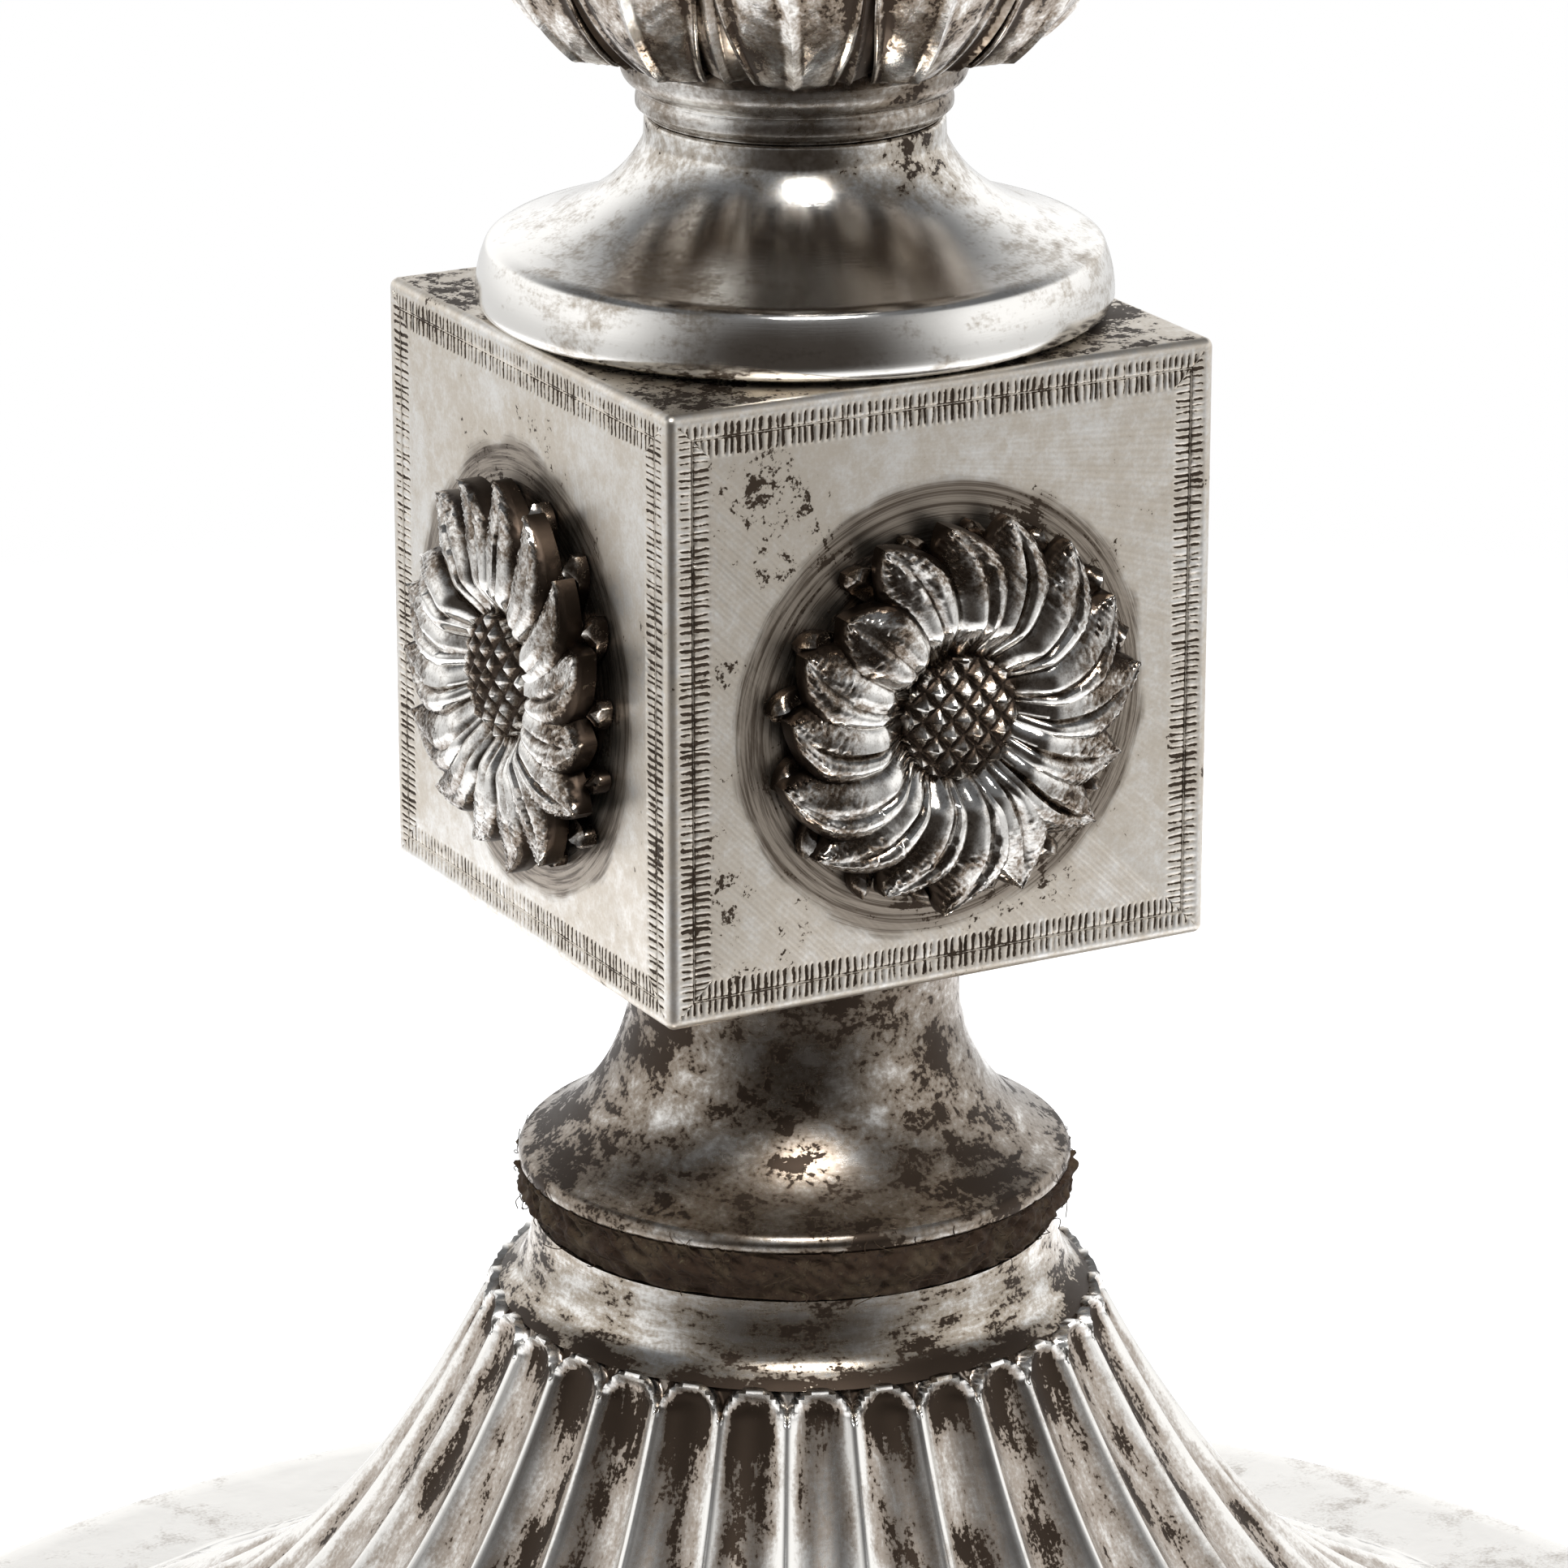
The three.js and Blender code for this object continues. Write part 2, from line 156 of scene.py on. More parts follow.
class KnopSettings(PropertyGroup):
    pitch: size("Stroke pitch", "Distance between two graver strokes", 0.43)
    border: size("Border width", "Width of the engraved border", 2.15)
    cut: size("Stroke depth", "Depth of a graver stroke", 0.11)
    corner: size("Edge radius", "Rounding of the cube's edges", 0.5)


class FlowerSettings(PropertyGroup):
    petals: IntProperty(name="Petals", description="Petals of one sunflower", default=16, min=8)
    seed_pitch: size("Seed spacing", "Distance between two seeds", 1.16)
    seed_radius: size("Seed boss radius", "Radius of the domed middle", 3.75)


class LeafSettings(PropertyGroup):
    leaves: IntProperty(name="Leaves", description="Leaves around the vase", default=12, min=6)
    thickness: size("Leaf thickness", "Thickness of the leaf sheet", 0.35)


class FinishSettings(PropertyGroup):
    silver: colour("Silver", "Clean polished silver", "#e8e6e2")
    tarnish: colour("Tarnish", "Brown-black silver sulphide", "#40362e")
    leather: colour("Leather", "Cut edge of the old leather washer", "#3b2a1c")
    iron: colour("Iron", "Dull turned iron", "#77736e")
    brass: colour("Brass", "Dull brass", "#b08a4e")


class StageSettings(PropertyGroup):
    floor: colour("Floor", "Pale seamless floor", "#f4f4f5")
    distance: size("Camera distance", "From the middle of the knop", 402.4)
    lens: FloatProperty(name="Lens", description="Focal length in millimetres", default=163.5)
    azimuth: FloatProperty(
        name="Azimuth",
        description="Direction the camera looks in, about the stem",
        default=radians(-28.71),
        subtype="ANGLE",
    )
    elevation: FloatProperty(
        name="Elevation",
        description="Height of the camera over the knop, as an angle",
        default=radians(17.01),
        subtype="ANGLE",
    )
    heading: FloatProperty(
        name="Heading",
        description="Direction of the lens's axis about the stem",
        default=radians(-28.62),
        subtype="ANGLE",
    )
    pitch: FloatProperty(
        name="Pitch",
        description="How far the lens's axis points down",
        default=radians(18.46),
        subtype="ANGLE",
    )


class CandlestickSettings(PropertyGroup):
    foot: PointerProperty(type=FootSettings)
    knop: PointerProperty(type=KnopSettings)
    flower: PointerProperty(type=FlowerSettings)
    leaf: PointerProperty(type=LeafSettings)
    finish: PointerProperty(type=FinishSettings)
    stage: PointerProperty(type=StageSettings)


# ---------------------------------------------------------------- outlines and meshes


def bend(start, corner, end, steps):
    """Points of a smooth bend from start to end that heads for a corner in between."""
    t = np.linspace(0, 1, steps + 1)[:, None]
    start, corner, end = (np.array(p, float) for p in (start, corner, end))
    return list((1 - t) ** 2 * start + 2 * t * (1 - t) * corner + t**2 * end)


def soften(outline, radius, steps=4):
    """The closed [radius, height] outline with its sharp corners rounded."""
    outline = [np.array(p, float) for p in outline]
    result = []
    for i, here in enumerate(outline):
        before, after = outline[i - 1], outline[(i + 1) % len(outline)]
        arrive, leave = here - before, after - here
        reach_in, reach_out = np.linalg.norm(arrive), np.linalg.norm(leave)
        turn = abs(atan2(arrive[0] * leave[1] - arrive[1] * leave[0], arrive @ leave))
        if turn < radians(22) or min(reach_in, reach_out) < 1e-6:
            result.append(here)
            continue
        reach = min(radius, 0.45 * reach_in, 0.45 * reach_out)
        start, end = here - arrive / reach_in * reach, here + leave / reach_out * reach
        result.extend(bend(start, here, end, steps))
    return np.array(result)


def grid_of(x, y, z):
    """A grid of points from the grids of its coordinates."""
    return np.stack(np.broadcast_arrays(x, y, z), axis=-1)


def round_stem(radius, angles, height):
    """A grid of points round the stem, from the grids of their radii, angles and heights."""
    return grid_of(radius * np.cos(angles), radius * np.sin(angles), height)


def heading(line):
    """Unit steps along a [radius, height] line."""
    ahead = np.gradient(line, axis=0)
    return ahead / np.linalg.norm(ahead, axis=1)[:, None]


def round_angles(columns):
    """A row of even angles round the stem."""
    return np.linspace(0, 2 * pi, columns, endpoint=False)[None, :]


def along(points):
    """Length along a chain of points, starting at 0."""
    steps = np.linalg.norm(np.diff(points, axis=0), axis=1)
    return np.concatenate([[0], np.cumsum(steps)])


def smoothstep(low, high, value):
    """Smooth rise from 0 at low to 1 at high."""
    t = np.clip((value - low) / (high - low), 0, 1)
    return t * t * (3 - 2 * t)


def bump(value, width):
    """A round hump, 1 where the value is 0."""
    return np.exp(-((value / width) ** 2))


def ripple(seed, count, *grids):
    """Smooth hand-made unevenness between about -1 and 1: a sum of seeded waves over the grids."""
    rng = np.random.default_rng(seed)
    total = np.zeros(np.broadcast(*grids).shape)
    for _ in range(count):
        phase = rng.uniform(0, 2 * pi)
        for grid in grids:
            phase = phase + grid * rng.uniform(-1, 1)
        total = total + np.sin(phase)
    return total / np.sqrt(count)


def lattice_faces(rows, columns, wrap_rows, wrap_columns, first=0):
    """Quads of a rows by columns lattice of vertices."""
    i = np.arange(rows if wrap_rows else rows - 1)[:, None]
    j = np.arange(columns if wrap_columns else columns - 1)[None, :]
    below, beside = (i + 1) % rows, (j + 1) % columns
    quads = np.stack(
        np.broadcast_arrays(
            i * columns + j, i * columns + beside, below * columns + beside, below * columns + j
        ),
        axis=-1,
    )
    return (quads.reshape(-1, 4) + first).tolist()


def make_piece(name, points, faces, marks=None, sharp=38, merge=True):
    """An object from points in millimetres and faces, with named marks as vertex attributes."""
    mesh = bpy.data.meshes.new(name)
    points = np.asarray(points, float).reshape(-1, 3)
    mesh.from_pydata((points * MM).tolist(), [], faces)
    for key, values in (marks or {}).items():
        values = np.asarray(values, np.float32)
        if values.ndim == 2:
            mesh.attributes.new(key, "FLOAT_VECTOR", "POINT").data.foreach_set("vector", values.ravel())
        else:
            mesh.attributes.new(key, "FLOAT", "POINT").data.foreach_set("value", values)
    clean_mesh(mesh, merge)
    mesh.polygons.foreach_set("use_smooth", [True] * len(mesh.polygons))
    mesh.set_sharp_from_angle(angle=radians(sharp))
    mesh.validate()
    piece = bpy.data.objects.new(name, mesh)
    bpy.context.scene.collection.objects.link(piece)
    return piece


def clean_mesh(mesh, merge):
    """Welds vertices in the same place, if asked, and turns all faces outwards."""
    work = bmesh.new()
    work.from_mesh(mesh)
    if merge:
        bmesh.ops.remove_doubles(work, verts=work.verts, dist=1e-6)
        bmesh.ops.dissolve_degenerate(work, dist=1e-7, edges=work.edges)
    bmesh.ops.recalc_face_normals(work, faces=work.faces)
    work.to_mesh(mesh)
    work.free()


def settle(piece, material, body, slot, *nodes):
    """Gives a piece its material, and ties it to the frame."""
    piece.data.materials.append(material)
    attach(piece, body)
    if nodes:
        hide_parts(*nodes)
    return piece


def turned(name, outline, columns=160, soil=0.0, soft=0.35, sway=0.0, seed=0):
    """A turned piece from a closed [radius, height] outline.

    soil, a number or a function of radius and height, says where tarnish gathers. sway is how far the
    hand-raised wall wanders from round.
    """
    rounded = soften(outline, soft)
    rows = len(rounded)
    angles = round_angles(columns)
    radius = np.repeat(rounded[:, :1], columns, axis=1)
    height = np.repeat(rounded[:, 1:], columns, axis=1)
    if sway:
        uneven = ripple(seed, 3, 2 * np.cos(angles), 2 * np.sin(angles), height * 0.25)
        radius = np.where(radius > 0, radius + sway * uneven, radius)
    marks = {
        "soil": (soil(radius, height) if callable(soil) else np.full(radius.shape, soil)).ravel(),
        "turning": turning(angles, np.max(rounded[:, 0]), along(rounded)[:, None]),
    }
    points = round_stem(radius, angles, height)
    return make_piece(name, points, lattice_faces(rows, columns, True, True), marks)


def turning(angles, radius, length):
    """Coordinates, in metres, that run round a turned piece and along its outline without a seam."""
    return round_stem(radius, angles, length).reshape(-1, 3) * MM


# ---------------------------------------------------------------- foot

# The flare falls to the brim partly evenly and partly faster at the top.
FLARE_EVEN_SHARE = 0.55
FLARE_STEEPNESS = 3.8
# Millimetres.
BRIM_WIDTH = 10.0
NECK_LENGTH = 5.0
NECK_SWELL = 2.1
ARCH_START = 0.3
FOOT_WALL = 1.9
FOOT_FLOOR = 2.0
# The foot's marks are laid out as on a cylinder of this radius.
MARK_RADIUS = 26.0


class FootShape:
    """The foot's meridian, worked out from the frame's foot node."""

    def __init__(self):
        self.rim = outer_radius("fluted_foot") + 0.1
        self.top = top_of("fluted_foot")
        self.base = floor_of("fluted_foot")
        self.brim_height = self.base + 1.0
        self.flute_end = self.rim - BRIM_WIDTH
        self.neck_radius = outer_radius("leather_washer") - 0.55
        self.flute_top = self.neck_radius + NECK_SWELL
        self.flute_top_height = self.top - NECK_LENGTH

    def flare(self, radius):
        """Height of the flare at a radius."""
        run = np.clip((radius - self.flute_top) / (self.flute_end - self.flute_top), -0.05, 1)
        steep = 1 - (1 - run) ** FLARE_STEEPNESS
        fall = FLARE_EVEN_SHARE * run + (1 - FLARE_EVEN_SHARE) * steep
        return self.flute_top_height - (self.flute_top_height - self.brim_height) * fall


def flute_relief(along_flute, across, half_width, top, bottom, rim, depth, step):
    """Height of a round-ended hollow over its ground, with how deep and how near its edge a point is.

    along_flute and half_width are columns, one value per row; across is one row from -1 to 1.
    """
    aside = np.abs(across) * half_width
    over_top = np.maximum(0, top + half_width - along_flute)
    past_end = np.maximum(0, along_flute - bottom + half_width)
    arch_edge = half_width - np.hypot(aside, over_top)
    end_edge = half_width - np.hypot(aside, past_end)
    edge = np.minimum(np.minimum(arch_edge, end_edge), half_width - aside)
    raised = smoothstep(-0.16, 0.2, arch_edge + np.maximum(0, along_flute - top - half_width))
    share = np.clip((edge - rim) / (half_width - rim), 0, 1)
    hollow = 1 - (1 - share) ** 2.3
    # One round ridge stands between two flutes, and a thicker roll runs round each arch.
    roll = smoothstep(0, 0.6, over_top)
    bead = (0.1 + 0.15 * roll) * bump(edge - 0.3 * roll, 0.2 + 0.1 * roll) * raised
    height = step * (raised - 1) + bead - depth * hollow
    return height, hollow, edge, raised


def flute_columns(flutes):
    """Angles round the foot, gathered near the ridges, and how far across its flute each one is."""
    half = np.array([0, 0.26, 0.48, 0.65, 0.77, 0.855, 0.91, 0.95, 0.98])
    across = np.concatenate([[-1], -half[:0:-1], half])
    angles = (np.arange(flutes)[:, None] + (across[None, :] + 1) / 2) / flutes * 2 * pi
    return angles.ravel()[None, :], np.tile(across, flutes)[None, :]


def foot_lines(shape):
    """The foot's [radius, height] lines: the neck, the flare, the brim's lip and the inside."""
    rim, top, base, brim = shape.rim, shape.top, shape.base, shape.brim_height
    neck = bend(
        (shape.neck_radius + 0.15, top),
        (shape.neck_radius + 0.3, top - 2.6),
        (shape.flute_top - 0.5, shape.flute_top_height + 0.72),
        12,
    )
    # Rows lie close where the flutes begin and end.
    radii = np.concatenate(
        [
            np.linspace(shape.flute_top - 0.45, shape.flute_top + 2.2, 26),
            np.geomspace(shape.flute_top + 2.5, shape.flute_end - 6.5, 34),
            np.linspace(shape.flute_end - 6.2, shape.flute_end + 0.6, 24),
        ]
    )
    lip = [
        (shape.flute_end + 3, brim - 0.05),
        (rim - 2.6, brim - 0.05),
        *bend((rim - 1.1, brim - 0.1), (rim - 0.2, brim - 0.1), (rim - 0.2, base + 0.05), 4),
    ]
    inside = [
        (rim - 2.5, base + 0.05),
        (rim - 5, base + 0.15),
        *[
            (r - 0.8, shape.flare(r) - FOOT_WALL)
            for r in np.geomspace(shape.flute_end, shape.flute_top - 0.6, 12)
        ],
        (shape.neck_radius - 2.4, top - 2.2),
        (ROD_HOLE + 0.1, top - FOOT_FLOOR),
        (ROD_HOLE + 0.1, top),
    ]
    return np.array(neck), np.stack([radii, shape.flare(radii)], axis=1), np.array(lip), np.array(inside)


def foot_soil(down, half_width, hollow, edge, raised, across, flutes):
    """Where the flutes hold tarnish: under their arches, in their hollows and in the scallops' gutter."""
    arch_shadow = bump(np.maximum(down - half_width * 0.6, 0), 3.2) * smoothstep(0.15, 0.6, hollow)
    gutter = bump(np.minimum(raised * 1.5, 1), 0.55) * smoothstep(-3.0, -0.2, down) * (raised < 0.9)
    soil = 0.3 + 0.3 * hollow + 0.45 * arch_shadow + 0.5 * gutter - 0.6 * bump(edge - 0.2, 0.3) * raised
    # The cloth has wiped each hollow harder on one side, and some of them hardly at all.
    wiped = np.random.default_rng(23).uniform(-0.16, 0.12, (2, flutes))
    wiped = np.repeat(wiped, across.shape[1] // flutes, axis=1)
    return soil + hollow * (wiped[:1] + wiped[1:] * across)


def fluted_foot(settings):
    """The fluted foot, and the height in millimetres above which it is the plain neck."""
    shape = FootShape()
    rim, step = settings.rim / MM, settings.step / MM
    neck, flare, lip, inside = foot_lines(shape)
    meridian = np.concatenate([neck, flare, lip, inside])
    order = np.arange(len(meridian))[:, None]
    on_neck = order < len(neck)
    outer_side = order < len(neck) + len(flare) + len(lip)
    angles, across = flute_columns(settings.flutes)
    length = along(meridian)[:, None]
    down = length - length[len(neck)]
    ahead = heading(meridian)
    normal = np.stack([-ahead[:, 1], ahead[:, 0]], axis=1)
    radius, height = meridian[:, :1], meridian[:, 1:]
    half_width = radius * pi / settings.flutes
    end = down[len(neck) + len(flare) - 1] - 0.6
    depth = np.minimum(settings.depth / MM, 0.1 + 0.26 * half_width)
    relief, hollow, edge, raised = flute_relief(
        down, across, half_width, ARCH_START, end, rim, depth, step
    )
    relief = np.where(outer_side, relief, 0)
    # The neck lies as low as the ground under the arches, and rises a little where it meets it.
    neck_relief = -step * (1 - 0.6 * smoothstep(-1.6, -0.3, down))
    relief = np.where(on_neck, neck_relief, relief)
    uneven = 0.06 * ripple(7, 4, 3 * np.cos(angles), 3 * np.sin(angles), length * 0.35)
    relief = relief + np.where(outer_side, uneven, 0)
    r = radius + relief * normal[:, :1]
    z = np.minimum(height + relief * normal[:, 1:], shape.top)

    down = down - ARCH_START
    soil = foot_soil(down, half_width, hollow, edge, raised, across, settings.flutes)
    soil = np.where(on_neck, 0.36 + 0.6 * smoothstep(-1.6, -0.2, down) + 0 * angles, soil)
    soil = soil - 0.6 * smoothstep(shape.flute_end - 12, shape.flute_end, radius)
    soil = np.where(outer_side, soil, 0.5)
    marks = {"soil": soil.ravel(), "turning": turning(angles, MARK_RADIUS, length)}
    faces = lattice_faces(*r.shape, True, True)
    foot = make_piece("fluted_foot_silver", round_stem(r, angles, z), faces, marks, 50)
    return foot, shape.flute_top_height + 0.35


# ---------------------------------------------------------------- cube knop

# Millimetres in from a wall's edge for each row of the engraved ring, and for the two lines between the
# outer and the inner strokes. A wider border spreads them in proportion.
BORDER_ROWS = (0, 0.08, 0.16, 0.34, 0.5, 0.7, 0.86, 0.92, 0.98, 1.04, 1.1, 1.3, 1.55, 1.8, 1.98, 2.06)
DOUBLE_LINE = (0.92, 1.04)
# Tarnish of the plain fields front, right, back and left. The left one is given less: a painted lighter
# tone for the light that falls on that side.
FIELD_SOIL_AND_PAINTED_LIGHT = (0.2, 0.2, 0.2, 0.12)
ARRIS_SOIL = 0.12
PLATE_SOIL = 0.55


def graver_stops(reach, pitch, seed):
    """Places along an edge, four to a stroke, with the share of a full cut at each one."""
    rng = np.random.default_rng(seed)
    widths = rng.uniform(0.8, 1.2, int(reach / pitch))
    ends = np.concatenate([[0], np.cumsum(widths)]) / widths.sum() * reach
    places, cuts = [0.0], [0.0]
    for start, end in zip(ends[:-1], ends[1:]):
        width = end - start
        depth = rng.uniform(0.55, 1.0)
        places += [start + 0.22 * width, start + 0.5 * width, start + 0.78 * width, end]
        cuts += [0.12 * depth, depth, 0.12 * depth, 0.0]
    places[-1] = reach
    return np.array(places), np.array(cuts)


def knop_face(settings, side):
    """One wall of the cube as a mitred ring of graver work, facing -Y, and where it holds tarnish; the left
    wall's field is painted lighter for the light on that side.
    """
    corner, width = settings.corner / MM, settings.border / MM
    pitch, cut = settings.pitch / MM, settings.cut / MM
    left, right = -KNOP_HALF + corner, KNOP_HALF - corner
    bottom, top = KNOP_LOW + corner, KNOP_HIGH - corner
    # Rows of the ring, from the wall's edge in to its plain field.
    inward = np.array(BORDER_ROWS) / BORDER_ROWS[-1] * width
    outer_row = smoothstep(0.1, 0.3, inward) * smoothstep(1.02, 0.8, inward)
    inner_row = smoothstep(1.0, 1.15, inward) * smoothstep(width, width - 0.25, inward)
    line = sum(bump(inward - row * width / BORDER_ROWS[-1], 0.045) for row in DOUBLE_LINE)
    ring, cuts = [], []
    edges = (
        ((left, bottom), (right, bottom), (0, 1)),
        ((right, bottom), (right, top), (-1, 0)),
        ((right, top), (left, top), (0, -1)),
        ((left, top), (left, bottom), (1, 0)),
    )
    rng = np.random.default_rng(100 + side)
    for number, (start, end, into) in enumerate(edges):
        start, end, into = np.array(start), np.array(end), np.array(into)
        reach = np.linalg.norm(end - start)
        places, depth = graver_stops(reach, pitch, edge_seed(side, number))
        if reversed_edge(number):
            places, depth = (reach - places)[::-1], depth[::-1]
        ahead = (end - start) / reach
        places, depth = places[:-1], depth[:-1]
        lean = np.repeat(rng.uniform(-0.1, 0.1, len(places) // 4 + 1), 4)[: len(places)]
        for place, stroke, slant in zip(places, depth, lean):
            drift = slant * np.sin(inward / width * pi) * min(1, min(place, reach - place) / 3)
            inside = np.clip(place, inward, reach - inward)
            ring.append(start + (inside + drift)[:, None] * ahead + inward[:, None] * into)
            cuts.append(stroke)
    ring, cuts = np.array(ring), np.array(cuts)[:, None]
    fade = np.random.default_rng(50 + side).uniform(0.55, 1.0, (len(ring), 2))
    depth = cut * (cuts * (outer_row * fade[:, :1] + inner_row * fade[:, 1:]) + 0.45 * line[None, :])
    soil = 0.05 + 1.5 * cuts * (outer_row + inner_row) + 0.6 * line[None, :] - 0.25 * bump(inward, 0.12)
    # The field's tarnish; the left wall's smaller share is painted light.
    soil[:, -2:] = FIELD_SOIL_AND_PAINTED_LIGHT[side]
    return grid_of(ring[..., 0], -KNOP_HALF + depth, ring[..., 1]), soil


def edge_seed(side, number):
    """Neighbouring walls share the strokes' places along a vertical edge, so they meet in a clean arris."""
    if number == 1:
        return 10 + side
    if number == 3:
        return 10 + (side - 1) % 4
    return 20 + 2 * side + (number == 2)


def reversed_edge(number):
    """The top and left edges run backwards, so that opposite edges match."""
    return number in (2, 3)


def turn_about_stem(points, quarter):
    """Points turned about the stem by quarter turns."""
    angle = quarter * pi / 2
    c, s = round(cos(angle)), round(sin(angle))
    x, y = points[..., 0], points[..., 1]
    return grid_of(c * x - s * y, s * x + c * y, points[..., 2])


def join_patch(parts, grid, marks, side, closed=False):
    """Adds a grid of points, turned to its side of the cube, and returns the number of its first one."""
    points, faces, soil = parts
    first = sum(len(p) for p in points)
    rows, columns = grid.shape[:2]
    points.append(turn_about_stem(grid.reshape(-1, 3), side))
    faces.extend(lattice_faces(rows, columns, closed, False, first))
    soil.append(np.broadcast_to(marks, (rows, columns)).ravel())
    return first


def edge_points(outline, axis, value):
    """The points of a wall's outline that lie at a value on one axis, in order along the edge."""
    edge = outline[np.isclose(outline[:, axis], value)]
    return edge[np.argsort(edge[:, 2 - axis])][:, 2 - axis, None]


def cube_knop(settings):
    """Four engraved walls joined by rounded arrises and ball corners, and closed by two plates."""
    corner = settings.corner / MM
    parts = points, faces, soil = [], [], []
    outlines = []
    for side in range(4):
        grid, marks = knop_face(settings, side)
        first = join_patch(parts, grid, marks, side, True)
        columns, rows = marks.shape
        faces.append([first + i * rows + rows - 1 for i in range(columns)])
        outlines.append(grid[:, 0])
    arc = np.linspace(0, pi / 2, 6)
    x, y = KNOP_HALF - corner, -KNOP_HALF + corner
    round_x, round_y = x + corner * np.sin(arc), y - corner * np.cos(arc)
    for side, outline in enumerate(outlines):
        upright = grid_of(round_x, round_y, edge_points(outline, 0, x))
        join_patch(parts, upright, ARRIS_SOIL, side)
        for level, sign in ((KNOP_HIGH - corner, 1), (KNOP_LOW + corner, -1)):
            rise = sign * corner * np.sin(arc)
            level_arris = grid_of(edge_points(outline, 2, level), round_y, level + rise)
            join_patch(parts, level_arris, ARRIS_SOIL, side)
            shrink = corner * np.cos(arc)[:, None]
            ball = grid_of(x + shrink * np.sin(arc), y - shrink * np.cos(arc), (level + rise)[:, None])
            join_patch(parts, ball, ARRIS_SOIL, side)
    marks = {"soil": np.concatenate(soil)}
    piece = make_piece("cube_knop_silver", np.concatenate(points), faces, marks, sharp=30)
    close_ends(piece.data)
    # The disc keeps cloth off the top plate, so it has darkened.
    for vertex, mark in zip(piece.data.vertices, piece.data.attributes["soil"].data):
        if vertex.co.z > (KNOP_HIGH - 0.01) * MM:
            mark.value = PLATE_SOIL
    return piece


def close_ends(mesh):
    """Fills the open top and bottom of a mesh with one flat face each."""
    work = bmesh.new()
    work.from_mesh(mesh)
    loose = [e for e in work.edges if len(e.link_faces) == 1]
    bmesh.ops.holes_fill(work, edges=loose, sides=0)
    bmesh.ops.recalc_face_normals(work, faces=work.faces)
    work.to_mesh(mesh)
    work.free()
    mesh.polygons.foreach_set("use_smooth", [True] * len(mesh.polygons))


# ---------------------------------------------------------------- sunflowers

# Millimetres out from the wall, but for the drum's radius and the thickness of the seeds' sheet.
SEPAL_BASE = 0.1
PETAL_BASE = 0.95
DRUM_TOP = 1.0
DRUM_RADIUS = 8.6
SEED_SHEET = 0.5
# Rows out along a petal or a sepal, and columns across it.
PETAL_GRID = (50, 27)
SEPAL_GRID = (16, 11)
PROUD_PETAL = 6
# How far the one casting is turned on the front, right, back and left walls, in radians.
FLOWER_TURNS = (0.0, 0.4, 0.9, 0.22)
# Radians per millimetre, for punched dents half a millimetre apart.
DENT_PITCH = 2 * pi / 0.5


def face_frame(flower_points, quarter, spin=0.0):
    """Moves points from a flower's own plane, Z away from the wall, onto a wall of the cube."""
    x, y, z = (flower_points[..., i] for i in range(3))
    across, up = x * cos(spin) - y * sin(spin), x * sin(spin) + y * cos(spin)
    on_wall = np.stack([across, -KNOP_HALF - z, FLOWER_HEIGHT + up], axis=-1)
    return turn_about_stem(on_wall, quarter)


def petal_grid(v, u, direction, inner, outer, widest, bend_by, base_width, swell_at, blunt):
    """Places in the flower's plane: v runs from the boss to the tip, u from one side to the other.

    The petal is widest at swell_at and closes to its tip more bluntly the smaller blunt is. bend_by turns
    its line as it goes out, and makes the outside of the bend bulge.
    """
    spread = np.where(
        v < swell_at,
        base_width + (widest - base_width) * np.sin(pi / 2 * np.clip(v / swell_at, 0, 1)) ** 1.1,
        widest * np.clip(np.cos(pi / 2 * np.clip((v - swell_at) / (1 - swell_at), 0, 1)), 0, 1) ** blunt,
    )
    distance = inner + (outer - inner) * v
    bearing = direction + bend_by * (v**2 - 0.4)
    side = u * spread - np.sign(bend_by) * 0.25 * widest * np.sin(pi * v) * min(1, abs(bend_by) * 4)
    return (
        distance * np.cos(bearing) - side * np.sin(bearing + bend_by * v),
        distance * np.sin(bearing) + side * np.cos(bearing + bend_by * v),
    )


def slab(top, floor):
    """Closes a grid of top points with a flat underside: points and faces of one petal."""
    under = top[:, ::-1].copy()
    under[..., 2] = floor
    ring = np.concatenate([top, under], axis=1)
    rows, columns = ring.shape[:2]
    faces = lattice_faces(rows, columns, False, True)
    faces.append(list(range(columns)))
    faces.append([(rows - 1) * columns + i for i in range(columns)][::-1])
    return ring, faces


